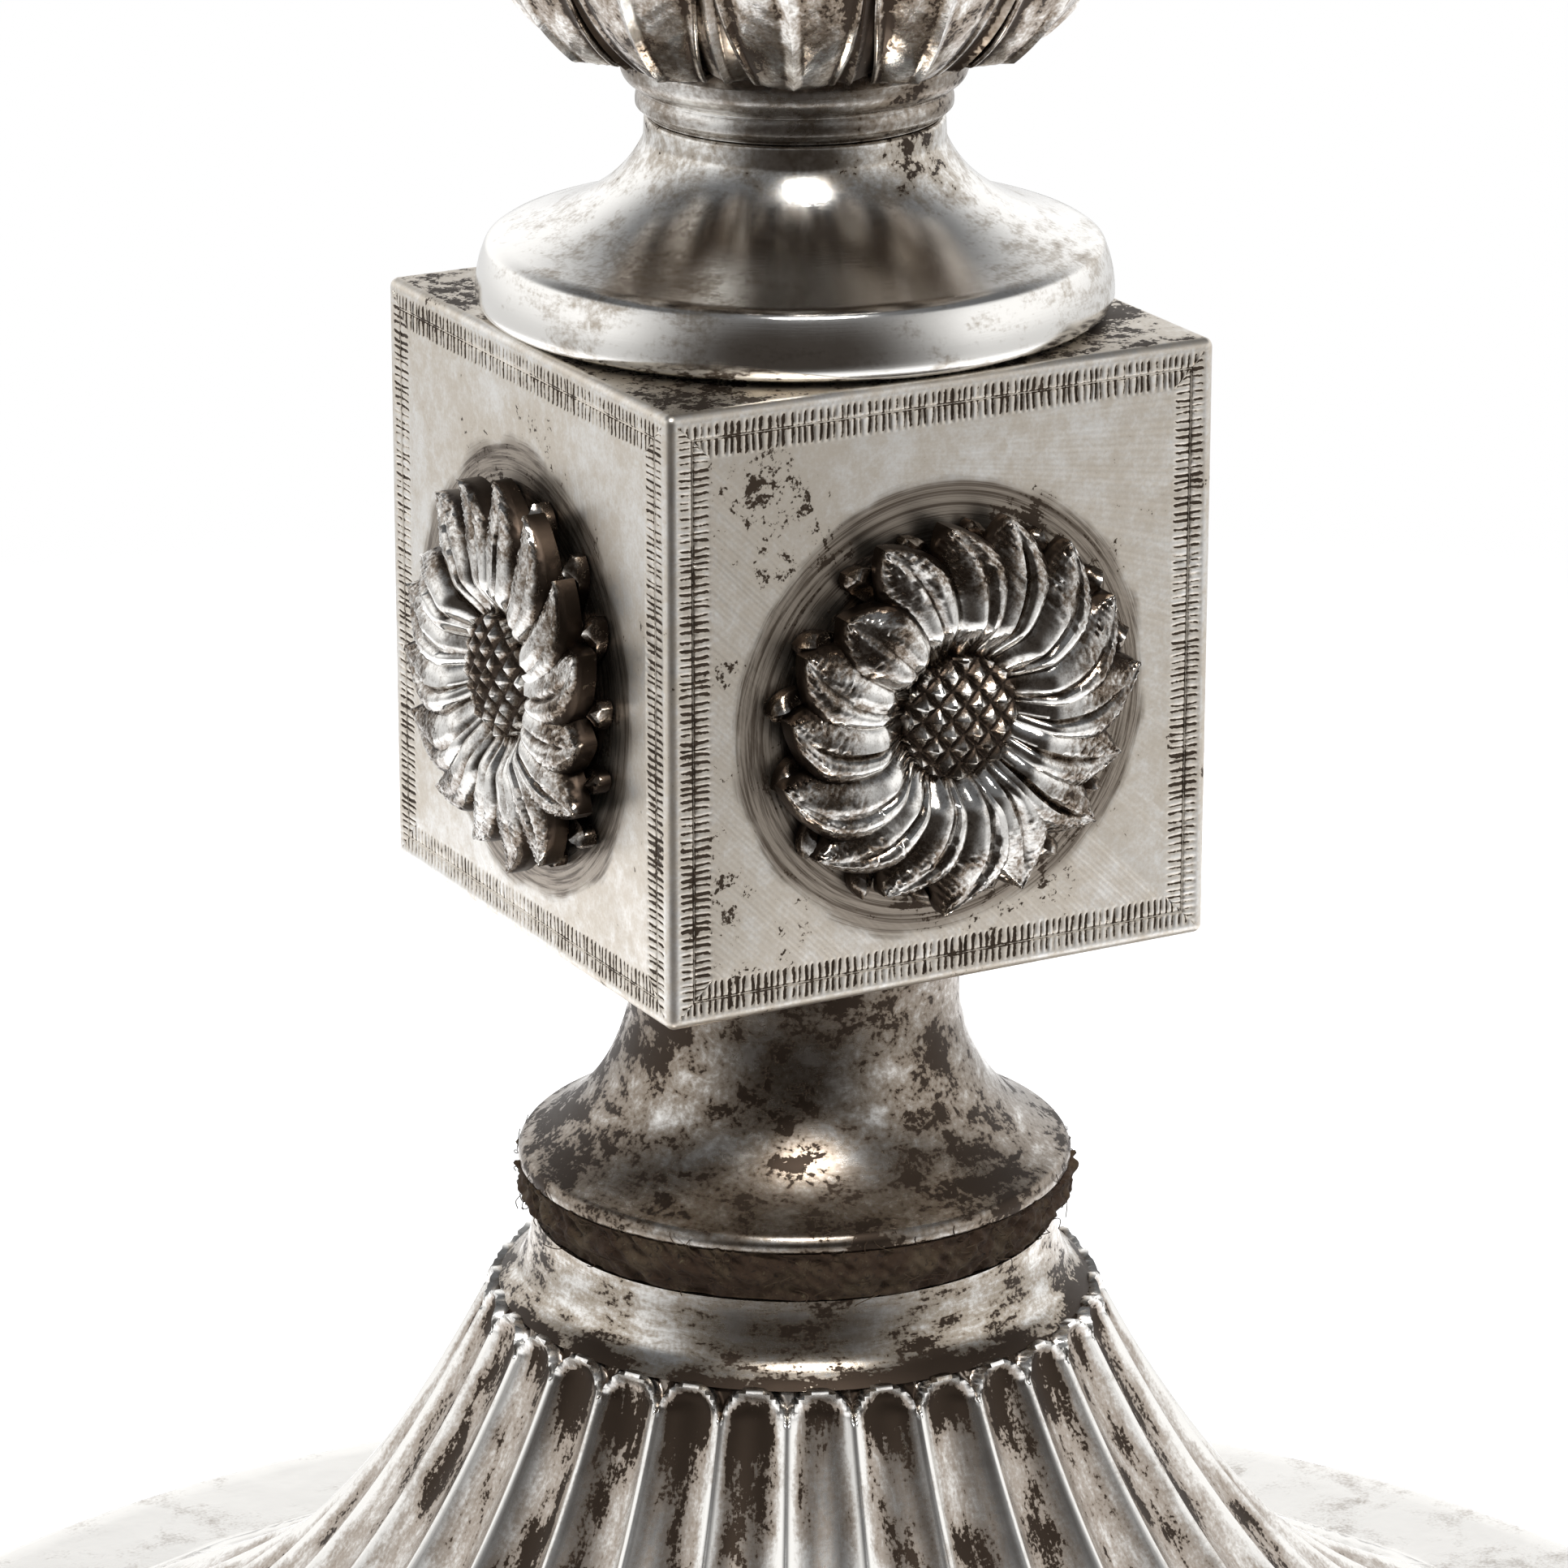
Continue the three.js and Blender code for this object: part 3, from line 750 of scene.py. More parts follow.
def petal_top(rng, k, seed, direction, v, u):
    """One petal of the flower: where it lies, how high it stands, where it holds tarnish and where shade is
    painted on it.

    Petals on one half of the flower bend one way and lap over one neighbour, those on the other half do
    the opposite, and one petal lies proud of both its neighbours.
    """
    proud = k == PROUD_PETAL
    reach = FLOWER_RADIUS * rng.uniform(0.95, 1.03) * (0.92 if proud else 1.0)
    bend_by = rng.uniform(-0.06, 0.06) + (0.0 if proud else 0.27 * cos(direction - radians(35)))
    lap = float(np.clip(-4.5 * bend_by, -0.9, 0.9))
    widest = 2.2 * rng.uniform(0.92, 1.06)
    x, y = petal_grid(
        v, u, direction, 3.0, reach, widest, bend_by, base_width=0.75, swell_at=0.6, blunt=0.78
    )
    seam = 0.34 * lap
    middle = u - seam
    share = np.where(middle > 0, middle / (1 - seam), -middle / (1 + seam))
    lobes = np.sin(pi * np.clip(0.14 + 0.82 * share, 0, 1)) ** 0.8
    dome = np.clip(1 - np.abs(u) ** 2.4, 0, 1) ** 0.7
    swell = smoothstep(0, 0.35, v) * (1 - 0.6 * smoothstep(0.5, 1.0, v))
    groove = bump(middle, 0.06) * smoothstep(0.92, 0.7, v) * smoothstep(0.0, 0.12, v)
    stippled = smoothstep(1.0, 0.88, np.abs(u)) * smoothstep(0.1, 0.2, np.abs(middle))
    outer_half = smoothstep(0.42, 0.6, v) * stippled
    sway = 0.12 * ripple(seed * 31 + k, 5, 4 * x, 4 * y)
    dents = np.cos(DENT_PITCH * (x + sway)) * np.cos(DENT_PITCH * (y - sway)) * outer_half
    tip_lift = (0.1 + 0.35 * rng.uniform(0, 1)) * smoothstep(0.6, 1.0, v)
    top = 1.0 + (0.22 * lobes + 0.85 * dome) * (0.35 + swell)
    slope = smoothstep(0, 0.3, v) * (1 - 0.6 * smoothstep(0.6, 1.0, v))
    top = top + (0.5 * (1 + lap * u) + 0.55 * proud) * slope
    top = top + tip_lift - 0.35 * groove * (0.3 + swell) + 0.1 * dents
    edge_dark = 1.5 * smoothstep(0.74, 1.0, np.abs(u)) + 1.3 * smoothstep(0.16, 0.0, v)
    mark = 0.08 + 0.8 * groove + 0.75 * edge_dark - 0.3 * lobes * smoothstep(0.7, 0.4, v) - 0.3 * dents
    # Painted shade: the half of each petal that runs under the neighbour lapping over it is made darker.
    mark = mark + 0.2 * outer_half + 0.6 * smoothstep(0.1, 0.9, -lap * u)
    return x, y, top, mark


def sepal_top(rng, direction, v, u):
    """One sepal: a thin blunt strip whose knobbed end shows between two petals."""
    reach = FLOWER_RADIUS * rng.uniform(0.96, 1.08)
    widest = 0.8 * rng.uniform(0.85, 1.2)
    x, y = petal_grid(
        v, u, direction, 6.0, reach, widest, 0.12, base_width=0.7, swell_at=0.8, blunt=0.5
    )
    knob = bump(v - 0.88, 0.09) * (1 - u**2)
    top = 0.75 + 0.25 * bump(u, 0.3) + 0.45 * knob
    mark = 0.7 - 0.5 * knob - 0.2 * bump(u, 0.3)
    return x, y, top, mark


def flower_layer(petals, seed, upper):
    """All the petals, or all the sepals, of one flower in its own plane."""
    rng = np.random.default_rng(seed)
    rows, columns = PETAL_GRID if upper else SEPAL_GRID
    v = 1 - (1 - np.linspace(0, 1, rows)[:, None]) ** 1.2
    u = np.sin(np.linspace(-pi / 2, pi / 2, columns))[None, :]
    points, faces, soil, count = [], [], [], 0
    for k in range(petals):
        direction = (k + (0 if upper else 0.5) + rng.uniform(-0.1, 0.1)) / petals * 2 * pi
        shaped = petal_top(rng, k, seed, direction, v, u) if upper else sepal_top(rng, direction, v, u)
        *place, mark = np.broadcast_arrays(*shaped)
        ring, quads = slab(np.stack(place, axis=-1), PETAL_BASE if upper else SEPAL_BASE)
        points.append(ring.reshape(-1, 3))
        faces += [[i + count for i in quad] for quad in quads]
        soil.append(np.concatenate([mark, np.full(mark.shape, 0.95)], axis=1).ravel())
        count += ring.shape[0] * ring.shape[1]
    return np.concatenate(points), faces, np.concatenate(soil)


def backing_disc(radius, low, high):
    """A low drum that closes the gaps between sepals, in the flower's plane."""
    outline = np.array([(0, low), (radius, low), (radius, high), (0, high)])
    angles = round_angles(48)
    points = round_stem(outline[:, :1], angles, outline[:, 1:])
    return points.reshape(-1, 3), lattice_faces(len(outline), angles.size, False, True)


def seed_boss(settings):
    """The domed middle of a flower with its cross-cut seeds, as a grid trimmed to a circle."""
    radius, pitch = settings.seed_radius / MM, settings.seed_pitch / MM
    places = np.linspace(-radius, radius, 73)
    x, y = np.meshgrid(places, places)
    distance = np.hypot(x, y)
    turn = radians(41)
    along_cut = (x * cos(turn) + y * sin(turn)) / pitch + 0.5
    across_cut = (-x * sin(turn) + y * cos(turn)) / pitch + 0.5
    from_middle = [np.abs(c - np.floor(c) - 0.5) * 2 for c in (along_cut, across_cut)]
    pyramid = 1 - np.maximum(*from_middle)
    furrow = 1 - pyramid
    dome = 1.1 + 1.25 * np.sqrt(np.clip(1 - (distance / (radius * 1.1)) ** 2, 0, 1))
    top = dome + 0.6 * pyramid**0.85 - 0.1
    top = np.where(distance > radius * 0.93, np.minimum(top, 1.0), top)
    points = np.stack([x, y, top], axis=-1)
    quads = np.array(lattice_faces(*x.shape, False, False))
    inside = (distance < radius).ravel()
    faces = quads[inside[quads].all(axis=1)].tolist()
    soil = 1.35 * furrow**2.0
    return points.reshape(-1, 3), faces, soil.ravel()


def sunflower(side, settings, cast):
    """The three pieces of one sunflower: sepals, petals and seeds."""
    quarter = SIDES.index(side)
    spin = FLOWER_TURNS[quarter]
    points, faces, soil = flower_layer(settings.petals, 40, False)
    drum, drum_faces = backing_disc(DRUM_RADIUS, SEPAL_BASE, DRUM_TOP)
    faces = faces + [[i + len(points) for i in quad] for quad in drum_faces]
    points = np.concatenate([points, drum])
    marks = {"soil": np.concatenate([soil, np.full(len(drum), 1.0)])}
    sepals = make_piece(f"flower_{side}_sepals", face_frame(points, quarter, spin), faces, marks, 50, False)
    settle(sepals, cast, STAND, "oxidised_silver", f"sunflower_sepals_{side}")
    points, faces, soil = flower_layer(settings.petals, 41, True)
    petals = make_piece(
        f"flower_{side}_petals", face_frame(points, quarter, spin), faces, {"soil": soil}, 50, False
    )
    settle(petals, cast, STAND, "silver", f"sunflower_petals_{side}")
    points, faces, soil = seed_boss(settings)
    seeds = make_piece(f"flower_{side}_seeds", face_frame(points, quarter, spin), faces, {"soil": soil}, 30)
    thicken(seeds, SEED_SHEET)
    settle(seeds, cast, STAND, "silver")


def thicken(piece, millimetres, offset=-1):
    """Gives a sheet its thickness and applies it to the mesh."""
    sheet = piece.modifiers.new("sheet thickness", "SOLIDIFY")
    sheet.thickness = millimetres * MM
    sheet.offset = offset
    depsgraph = bpy.context.evaluated_depsgraph_get()
    depsgraph.update()
    shaped = bpy.data.meshes.new_from_object(piece.evaluated_get(depsgraph))
    piece.modifiers.clear()
    piece.data = shaped


# ---------------------------------------------------------------- leaves


LEAF_ROWS, LEAF_COLUMNS = 72, 33


def leaf_row(name, meridian, count, shift, shape, thickness, seed):
    """A row of leaves laid over a bowl.

    meridian is the bowl's [radius, height] line from the bottom up. shape holds how far along it the
    leaves end, their widest half angle, their lift off the bowl, and whether they are stippled.
    """
    end, widest, lift, stippled = shape
    length = along(meridian)
    ahead = heading(meridian)
    rng = np.random.default_rng(seed)
    line_floor = meridian[0, 1] + thickness
    v = np.linspace(0, 1, LEAF_ROWS)[:, None]
    u = np.linspace(-1, 1, LEAF_COLUMNS)[None, :]
    aside = np.abs(u)
    # The outline: an even shank that swells and closes to a round tip.
    spread = widest * (0.6 + 0.4 * np.sin(pi / 2 * np.clip(v / 0.62, 0, 1)) ** 1.2)
    spread = spread * np.clip(1 - np.clip((v - 0.6) / 0.4, 0, 1) ** 2, 0, 1) ** 0.8
    # The relief: a rib, rolled edges, a cupped blade with fine veins, and a tip that curls out.
    rib = bump(u, 0.07) * smoothstep(1.0, 0.85, v)
    rolled = smoothstep(0.86, 0.97, aside)
    cup = 1 - aside**1.6
    away = (lift + 0.3 * rib + 0.22 * rolled + 0.7 * cup) * smoothstep(0, 0.14, v) + 0.04
    if stippled:
        veins = np.sin(90 * v - 14 * aside)
        away = away + 0.012 * veins * smoothstep(0.1, 0.2, aside) * smoothstep(0.9, 0.7, aside)
    away = away + 1.1 * smoothstep(0.86, 1.0, v)
    mark = 0.26 + 0.2 * bump(aside - 0.15, 0.06) + 0.6 * bump(aside - 0.82, 0.08) - 0.3 * rib
    mark = mark + 0.4 * smoothstep(0.12, 0.0, v) + (0.0 if stippled else 0.45)
    points, faces = [], []
    for k in range(count):
        s = end * rng.uniform(0.97, 1.03) * v * length[-1]
        over = np.maximum(0, s - length[-1])
        s_on = np.minimum(s, length[-1])
        radius = np.interp(s_on, length, meridian[:, 0])
        height = np.interp(s_on, length, meridian[:, 1])
        out = np.interp(s_on, length, ahead[:, 1]), -np.interp(s_on, length, ahead[:, 0])
        middle = (k + shift) / count * 2 * pi + 0.02 * np.sin(3 * v + rng.uniform(0, 6))
        r = radius + away * out[0]
        z = np.maximum(height + away * out[1] + over * 0.9, line_floor)
        points.append(round_stem(r, middle + u * spread, z).reshape(-1, 3))
        faces += lattice_faces(LEAF_ROWS, LEAF_COLUMNS, False, False, k * LEAF_ROWS * LEAF_COLUMNS)
    soil = np.tile(mark.ravel(), count)
    piece = make_piece(name, np.concatenate(points), faces, {"soil": soil}, 60)
    thicken(piece, thickness, 0)
    return piece


def calyx_line(node, start):
    """Outer [radius, height] line of a leaf-wrapped bowl, from its starting radius up."""
    low, high, rim = reach_of(node)
    return np.array(bend((start, low), (rim - 1.8, low + (high - low) * 0.19), (rim, high), 48))


def bowl(name, line):
    """A bowl under the leaves, closed by its floor."""
    low, floor = line[0][1], line[0][1] + BOWL_FLOOR
    inner = [(p[0] - SHEET, p[1] + 0.5) for p in line[::-6]]
    inner = [p for p in inner if p[1] > floor] or inner[:1]
    inner[0] = (line[-1][0] - SHEET, line[-1][1])
    outline = [(ROD_HOLE, low), *line[::2], *inner, (ROD_HOLE, floor)]
    return turned(name, outline, soil=0.55, soft=0.2)


# ---------------------------------------------------------------- turned pieces

# Neck radii in millimetres.
DISC_NECK = 8.35
SPOOL_NECK = 9.45
VASE_NECK = 8.2


def hollow(outer):
    """Closes a climbing [radius, height] line with an even wall inside it and level ends."""
    outer = np.array(outer, float)
    ahead = heading(outer)
    inner = outer - SHEET * np.stack([ahead[:, 1], -ahead[:, 0]], axis=1)
    inner[:, 1] = np.clip(inner[:, 1], outer[0, 1], outer[-1, 1])
    inner[0] = (outer[0, 0] - 2 * SHEET, outer[0, 1])
    inner[-1] = (outer[-1, 0] - SHEET, outer[-1, 1])
    return [*outer, *inner[::-3], inner[0]]


def solid(outer):
    """Closes a climbing [radius, height] line down the rod's hole."""
    return [*outer, (ROD_HOLE, outer[-1][1]), (ROD_HOLE, outer[0][1])]


def foot_ring_outline():
    """The flat ring under the rim, with its bead."""
    low, high, rim = reach_of("foot_ring")
    return [
        (rim - 2.4, low),
        (rim - 0.5, low),
        *bend((rim - 0.1, low + 0.6), (rim + 0.15, low + 1.7), (rim - 0.2, low + 2.6), 6),
        (rim - 0.55, low + 2.9),
        (rim - 0.15, low + 3.3),
        (rim - 0.2, high),
        (rim - 2.4, high),
    ]


def spool_line():
    """The spool: a thin wide rim and a concave waist."""
    low, high, rim = reach_of("lower_spool")
    tall = high - low
    waist = (SPOOL_NECK + 0.1, low + tall * 0.58)
    return [
        (rim, low),
        (rim, low + 0.55),
        *bend((rim - 0.25, low + 0.95), (SPOOL_NECK + 1.5, low + 3.1), waist, 22),
        (SPOOL_NECK, low + tall * 0.72),
        (SPOOL_NECK, high),
    ]


def disc_line():
    """The disc: a bulging band and a concave neck."""
    low, high, rim = reach_of("flared_disc")
    band = low + 3.9
    neck = (DISC_NECK + 0.05, high - 0.4)
    return [
        (rim - 0.9, low + 0.12),
        (rim - 0.2, low + 0.5),
        *bend((rim, low + 1.0), (rim + 0.05, low + 2.4), (rim - 0.6, band), 8),
        *bend((rim - 1.0, band + 0.25), (DISC_NECK + 1.75, band + 1.95), neck, 26),
        (DISC_NECK, high + 0.85),
    ]


def collar_line():
    """The collar: a small roll over the neck and a swelling under the vase."""
    low, high, rim = reach_of("vase_collar")
    rim -= 0.55
    return [
        (DISC_NECK - 0.5, low),
        (DISC_NECK - 0.5, low + 0.8),
        *bend((DISC_NECK - 0.2, low + 0.9), (rim - 1.6, low + 0.95), (rim - 1.2, low + 1.15), 5),
        *bend((rim - 0.85, low + 1.45), (rim - 0.75, low + 2.0), (rim - 1.0, low + 2.4), 6),
        *bend((rim - 0.9, low + 2.6), (rim - 0.1, low + 2.85), (rim, low + 3.6), 8),
        *bend((rim + 0.05, low + 4.1), (rim - 0.1, low + 4.5), (rim - 0.35, high), 6),
    ]


def shoulder_line():
    """The vase above its leaves: a bead, a shoulder and a neck."""
    low, high, rim = floor_of("vase_shoulder"), top_of("vase_shoulder"), outer_radius("leaf_calyx")
    tall = high - low
    throat = (VASE_NECK + 3.2, low + tall * 0.62)
    return [
        (rim - 0.4, low),
        *bend((rim + 0.1, low + 0.5), (rim + 0.5, low + 1.2), (rim - 0.1, low + 1.9), 6),
        *bend((rim - 0.7, low + 2.2), (rim - 1.6, low + tall * 0.52), throat, 22),
        *bend((VASE_NECK + 1.6, low + tall * 0.7), (VASE_NECK, low + tall * 0.8), (VASE_NECK, high), 12),
    ]


def ring_line(node, bottom, top):
    """A bead between two radii, for either end of the column."""
    low, high, rim = reach_of(node)
    middle = (low + high) / 2
    return [
        (bottom, low),
        (rim - 0.9, low + 0.35),
        *bend((rim - 0.5, low + 0.6), (rim + 0.3, middle), (rim - 0.5, high - 0.6), 10),
        (rim - 0.9, high - 0.35),
        (top, high),
    ]


def socket_outline():
    """The candle socket: a straight cup with a turned lip."""
    low, high, lip = reach_of("candle_socket")
    wall = lip - 3.0
    return [
        (0, low),
        (wall - 0.5, low),
        *bend((wall + 0.1, low + 0.2), (wall + 0.9, low + 1.0), (wall + 0.1, low + 2.0), 8),
        (wall, low + 2.6),
        (wall - 0.15, low + 12),
        (wall, high - 5.4),
        *bend((wall + 0.1, high - 4.6), (wall + 0.6, high - 2.4), (lip - 0.2, high - 1.8), 12),
        *bend((lip, high - 1.5), (lip + 0.1, high - 0.6), (lip - 0.4, high), 6),
        (wall - SHEET, high),
        (wall - SHEET, low + SHEET),
        (0, low + SHEET),
    ]


def pan_outline():
    """The pan: a shallow dish with its nozzle above and below."""
    low, high, rim = reach_of("drip_pan")
    plate = top_of("candle_socket") + 0.02
    bore = 11.3
    nozzle_wall = 0.75
    nozzle = bore + nozzle_wall
    return [
        (bore, low),
        (nozzle - 0.2, low),
        (nozzle, low + 1.0),
        (nozzle, plate),
        (rim * 0.55, plate),
        *bend((rim * 0.8, plate + 0.4), (rim - 1.6, plate + 1.0), (rim - 0.7, high - 1.5), 12),
        *bend((rim - 0.1, high - 1.0), (rim + 0.25, high - 0.2), (rim - 0.7, high), 8),
        *bend((rim - 1.3, high - 0.1), (rim - 2.6, plate + 2.1), (rim * 0.8, plate + 1.5), 12),
        (nozzle + 2.0, plate + 1.05),
        *bend((nozzle + 0.5, plate + 1.4), (nozzle + 0.1, plate + 2.4), (nozzle + 0.1, high - 0.1), 8),
        *bend((nozzle, high), (bore + 0.4, high + 0.1), (bore, high - 0.1), 4),
    ]


COLUMN_FLUTES = 12
COLUMN_DEPTH = 0.7


def fluted_column():
    """The tapering column with round-ended flutes and a plain band at each end."""
    low, high, head = reach_of("fluted_column")
    foot = head - 2.2
    heights = np.concatenate(
        [
            np.linspace(low, low + 2.4, 5),
            np.linspace(low + 2.6, low + 7.5, 22),
            np.linspace(low + 9.0, high - 9.0, 34),
            np.linspace(high - 7.5, high - 2.6, 22),
            np.linspace(high - 2.4, high, 5),
        ]
    )
    share = (heights - low) / (high - low)
    radius = foot + (head - foot) * share + 0.35 * (
        bump(heights - low - 1.6, 0.5) + bump(heights - high + 1.6, 0.5)
    )
    outer = np.stack([radius, heights], axis=1)
    angles, across = flute_columns(COLUMN_FLUTES)
    half_width = radius[:, None] * pi / COLUMN_FLUTES
    relief, deep, edge, _ = flute_relief(
        heights[:, None], across, half_width, low + 3.0, high - 3.0, 0.2, COLUMN_DEPTH, 0.0
    )
    r = outer[:, :1] + relief
    z = np.broadcast_to(heights[:, None], r.shape)
    inner = np.stack([radius - 1.8, heights], axis=1)[::-6]
    inner[0, 1], inner[-1, 1] = high, low
    r = np.concatenate([r, np.repeat(inner[:, :1], r.shape[1], axis=1)])
    z = np.concatenate([z, np.repeat(inner[:, 1:], z.shape[1], axis=1)])
    soil = np.full(r.shape, 0.5)
    soil[: len(heights)] = 0.28 + 0.3 * deep - 0.3 * bump(edge - 0.15, 0.25)
    points = round_stem(r, angles, z)
    marks = {"soil": soil.ravel(), "turning": turning(angles, foot, z)}
    return make_piece("column_silver", points, lattice_faces(*r.shape, True, True), marks, 45)


# ---------------------------------------------------------------- leather

FIBRES = 320
FIBRE_RADIUS = 0.028
FIBRE_POINTS = 9


def leather_packing():
    """The thick leather washer: a cut edge that has frayed and swollen between two pieces of silver."""
    low, high, rim = reach_of("leather_washer")
    lift = np.linspace(0, 1, 32)
    columns = 840
    angles = round_angles(columns)
    heights = (low + 0.03 + (high - low - 0.06) * lift)[:, None]
    swell = (rim - 0.75 + 0.75 * smoothstep(0, 0.55, lift))[:, None]
    coarse = ripple(3, 6, 9 * np.cos(angles), 9 * np.sin(angles), heights * 0.7)
    grain = ripple(4, 10, 44 * np.cos(angles), 44 * np.sin(angles), heights * 3.2)
    fray = ripple(5, 10, 110 * np.cos(angles), 110 * np.sin(angles), heights * 7)
    rough = 0.13 * coarse + 0.15 * grain + 0.13 * fray
    pinch = smoothstep(0, 0.06, lift) * smoothstep(1, 0.97, lift)
    radius = swell - 0.2 + rough * (0.5 + 0.5 * pinch[:, None])
    # The top edge stands out in a ragged fringe round the silver above it.
    fringe = smoothstep(0.86, 1.0, lift)[:, None]
    radius = radius + fringe * (0.1 + 0.07 * fray)
    ragged = heights + fringe * 0.1 * np.maximum(0, fray + 0.5 * grain) * (radius > rim + 0.02)
    hole = round_stem(ROD_HOLE, angles, np.array([[high - 0.02], [low + 0.02]]))
    points = np.concatenate([round_stem(radius, angles, ragged), hole])
    return make_piece("leather_packing", points, lattice_faces(len(points), columns, True, True), {}, 80)


def leather_fibres():
    """Stray fibres that have worked loose from the cut edge of the leather."""
    low, high, rim = reach_of("leather_washer")
    rng = np.random.default_rng(12)
    curve = bpy.data.curves.new("leather_fibres", "CURVE")
    curve.dimensions = "3D"
    curve.bevel_depth = FIBRE_RADIUS * MM
    curve.bevel_resolution = 1
    for _ in range(FIBRES):
        bearing = rng.uniform(0, 2 * pi)
        reach = rng.uniform(0.3, 1.0) ** 2 * 1.6
        start = high - 0.1 - (high - low - 0.6) * rng.uniform(0, 1) ** 2
        heading = rng.uniform(-0.09, 0.09)
        rise = rng.uniform(-0.8, 1.1)
        spline = curve.splines.new("POLY")
        spline.points.add(FIBRE_POINTS - 1)
        for i, point in enumerate(spline.points):
            t = i / (FIBRE_POINTS - 1)
            out = rim - 0.4 + 0.75 * reach * sin(2.2 * t) * 0.55
            angle = bearing + heading * t + 0.02 * sin(5 * t)
            point.co = (out * cos(angle) * MM, out * sin(angle) * MM, (start + rise * t * t) * MM, 1)
    fibres = bpy.data.objects.new("leather_fibres", curve)
    bpy.context.scene.collection.objects.link(fibres)
    mesh = bpy.data.meshes.new_from_object(fibres)
    bpy.data.objects.remove(fibres)
    piece = bpy.data.objects.new("leather_fibres", mesh)
    bpy.context.scene.collection.objects.link(piece)
    return piece


# ---------------------------------------------------------------- materials


def new_material(name):
    """An empty material and its node tree."""
    material = bpy.data.materials.new(name)
    material.use_nodes = True
    material.node_tree.nodes.clear()
    return material, material.node_tree


def add(tree, kind, links=None, outputs=(0,), **settings):
    """Adds a shader node, sets its properties and input values, links its inputs, and returns its outputs.

    settings are the node's own properties. links maps an input's name or number to a value or to an
    output of another node. outputs names the outputs to return; one is returned on its own.
    """
    node = tree.nodes.new("ShaderNode" + kind)
    for key, value in settings.items():
        setattr(node, key, value)
    for key, value in (links or {}).items():
        socket = node.inputs[key]
        if isinstance(value, bpy.types.NodeSocket):
            tree.links.new(value, socket)
        elif socket.type == "RGBA":
            socket.default_value = (*value, 1)
        else:
            socket.default_value = value
    found = [node.outputs[o] for o in outputs]
    return found[0] if len(found) == 1 else found


def per_mm(millimetres):
    """Scale of a pattern whose grains are about this many millimetres across."""
    return 1 / (millimetres * MM)


# Settings that several nodes share.
SMOOTH = {"interpolation_type": "SMOOTHSTEP"}
COLOURS = {"data_type": "RGBA"}
TIMES_PLUS = {"operation": "MULTIPLY_ADD"}
PLUS = {"operation": "ADD"}

# Tarnished silver. cloud and spot are the sizes in millimetres of the tarnish's broad and small patches,
# run how they are squeezed along each axis, ease how readily tarnish takes and patchy how unevenly, skin
# the colour of its film, film_from and brown_from where the film and its browner stage set in, and dark,
# where given, how far the sulphide hides the metal. gloss is the clean metal's roughness. grain is the
# size of the surface's own texture, depth its height, and hairs the strength of polishing lines, squeezed
# along each axis by comb. Real polishing lines are finer than these, which are as coarse as they need to
# be to show. On turned pieces the axes run round the piece, and the third one along its outline.
SILVER_FINISHES = {
    # Sheet silver raised with a hammer, chased with flutes and hand polished: mirror ridges, with
    # brown-black sulphide in the hollows where the cloth does not reach, in streaks along the flutes.
    "raised": dict(
        name="silver_raised_and_chased",
        turned=True, cloud=7.0, spot=1.3, run=(1, 1, 0.38), ease=0.0, patchy=1.5,
        skin="#a0958a", film_from=-0.3, brown_from=0.6,
        gloss=0.15, grain=0.9, depth=0.006, hairs=0.5, comb=(3.0, 3.0, 0.4),
    ),
    # The foot's plain neck, wiped round and round: film and sulphide lie in level streaks.
    "wiped": dict(
        name="silver_raised_and_wiped_round",
        turned=True, cloud=5.0, spot=1.4, run=(0.35, 0.35, 2.2), ease=0.1, patchy=1.9,
        skin="#a3988a", film_from=-0.2, brown_from=0.58,
        gloss=0.14, grain=0.9, depth=0.006, hairs=0.8, comb=(0.3, 0.3, 5.0),
    ),
    # Turned and burnished on a lathe: glossy, with faint rings and a little grey film.
    "turned": dict(
        name="silver_turned_and_burnished",
        turned=True, cloud=9.0, spot=1.6, run=(0.6, 0.6, 1.5), ease=-0.2, patchy=1.5,
        skin="#aaa195", film_from=-0.1, brown_from=0.6,
        gloss=0.1, grain=1.4, depth=0.003, hairs=0.8, comb=(0.25, 0.25, 7.0),
    ),
    # The same, handled less: the film has closed to a warm brown skin with black islands.
    "filmed": dict(
        name="silver_turned_with_old_film",
        turned=True, cloud=8.0, spot=1.8, run=(0.6, 0.6, 1.3), ease=0.26, patchy=1.9,
        skin="#857a6e", film_from=-0.4, brown_from=0.56,
        gloss=0.14, grain=1.1, depth=0.004, hairs=0.8, comb=(0.25, 0.25, 6.0),
    ),
    # Flat sheet planished, engraved with a graver and rubbed to a satin: pale, softly brushed, spotted.
    "engraved": dict(
        name="silver_planished_and_engraved",
        turned=False, cloud=9.0, spot=1.1, run=(1, 1, 1), ease=0.09, patchy=1.9,
        skin="#cdc4b7", film_from=-0.6, brown_from=0.64, dark=0.75,
        gloss=0.25, grain=0.7, depth=0.003, hairs=0.45, comb=(0.5, 0.5, 5.0),
    ),
    # Cast and chased: bright where it has been rubbed, near black in every hollow and dent.
    "cast": dict(
        name="silver_cast_and_chased",
        turned=False, cloud=4.0, spot=0.8, run=(1, 1, 1), ease=0.06, patchy=1.3,
        skin="#7b6f63", film_from=-0.35, brown_from=0.38,
        gloss=0.08, grain=0.35, depth=0.01, hairs=0.0, comb=(1, 1, 1),
    ),
    # Leaves chased, then stippled with a punch: a bright, finely broken shine.
    "punched": dict(
        name="silver_chased_and_stippled",
        turned=False, cloud=5.0, spot=1.2, run=(1, 1, 0.6), ease=0.12, patchy=1.6,
        skin="#83776a", film_from=-0.3, brown_from=0.5,
        gloss=0.14, grain=0.32, depth=0.014, hairs=0.0, comb=(1, 1, 1),
    ),
}
BROWN_FILM = "#63574b"
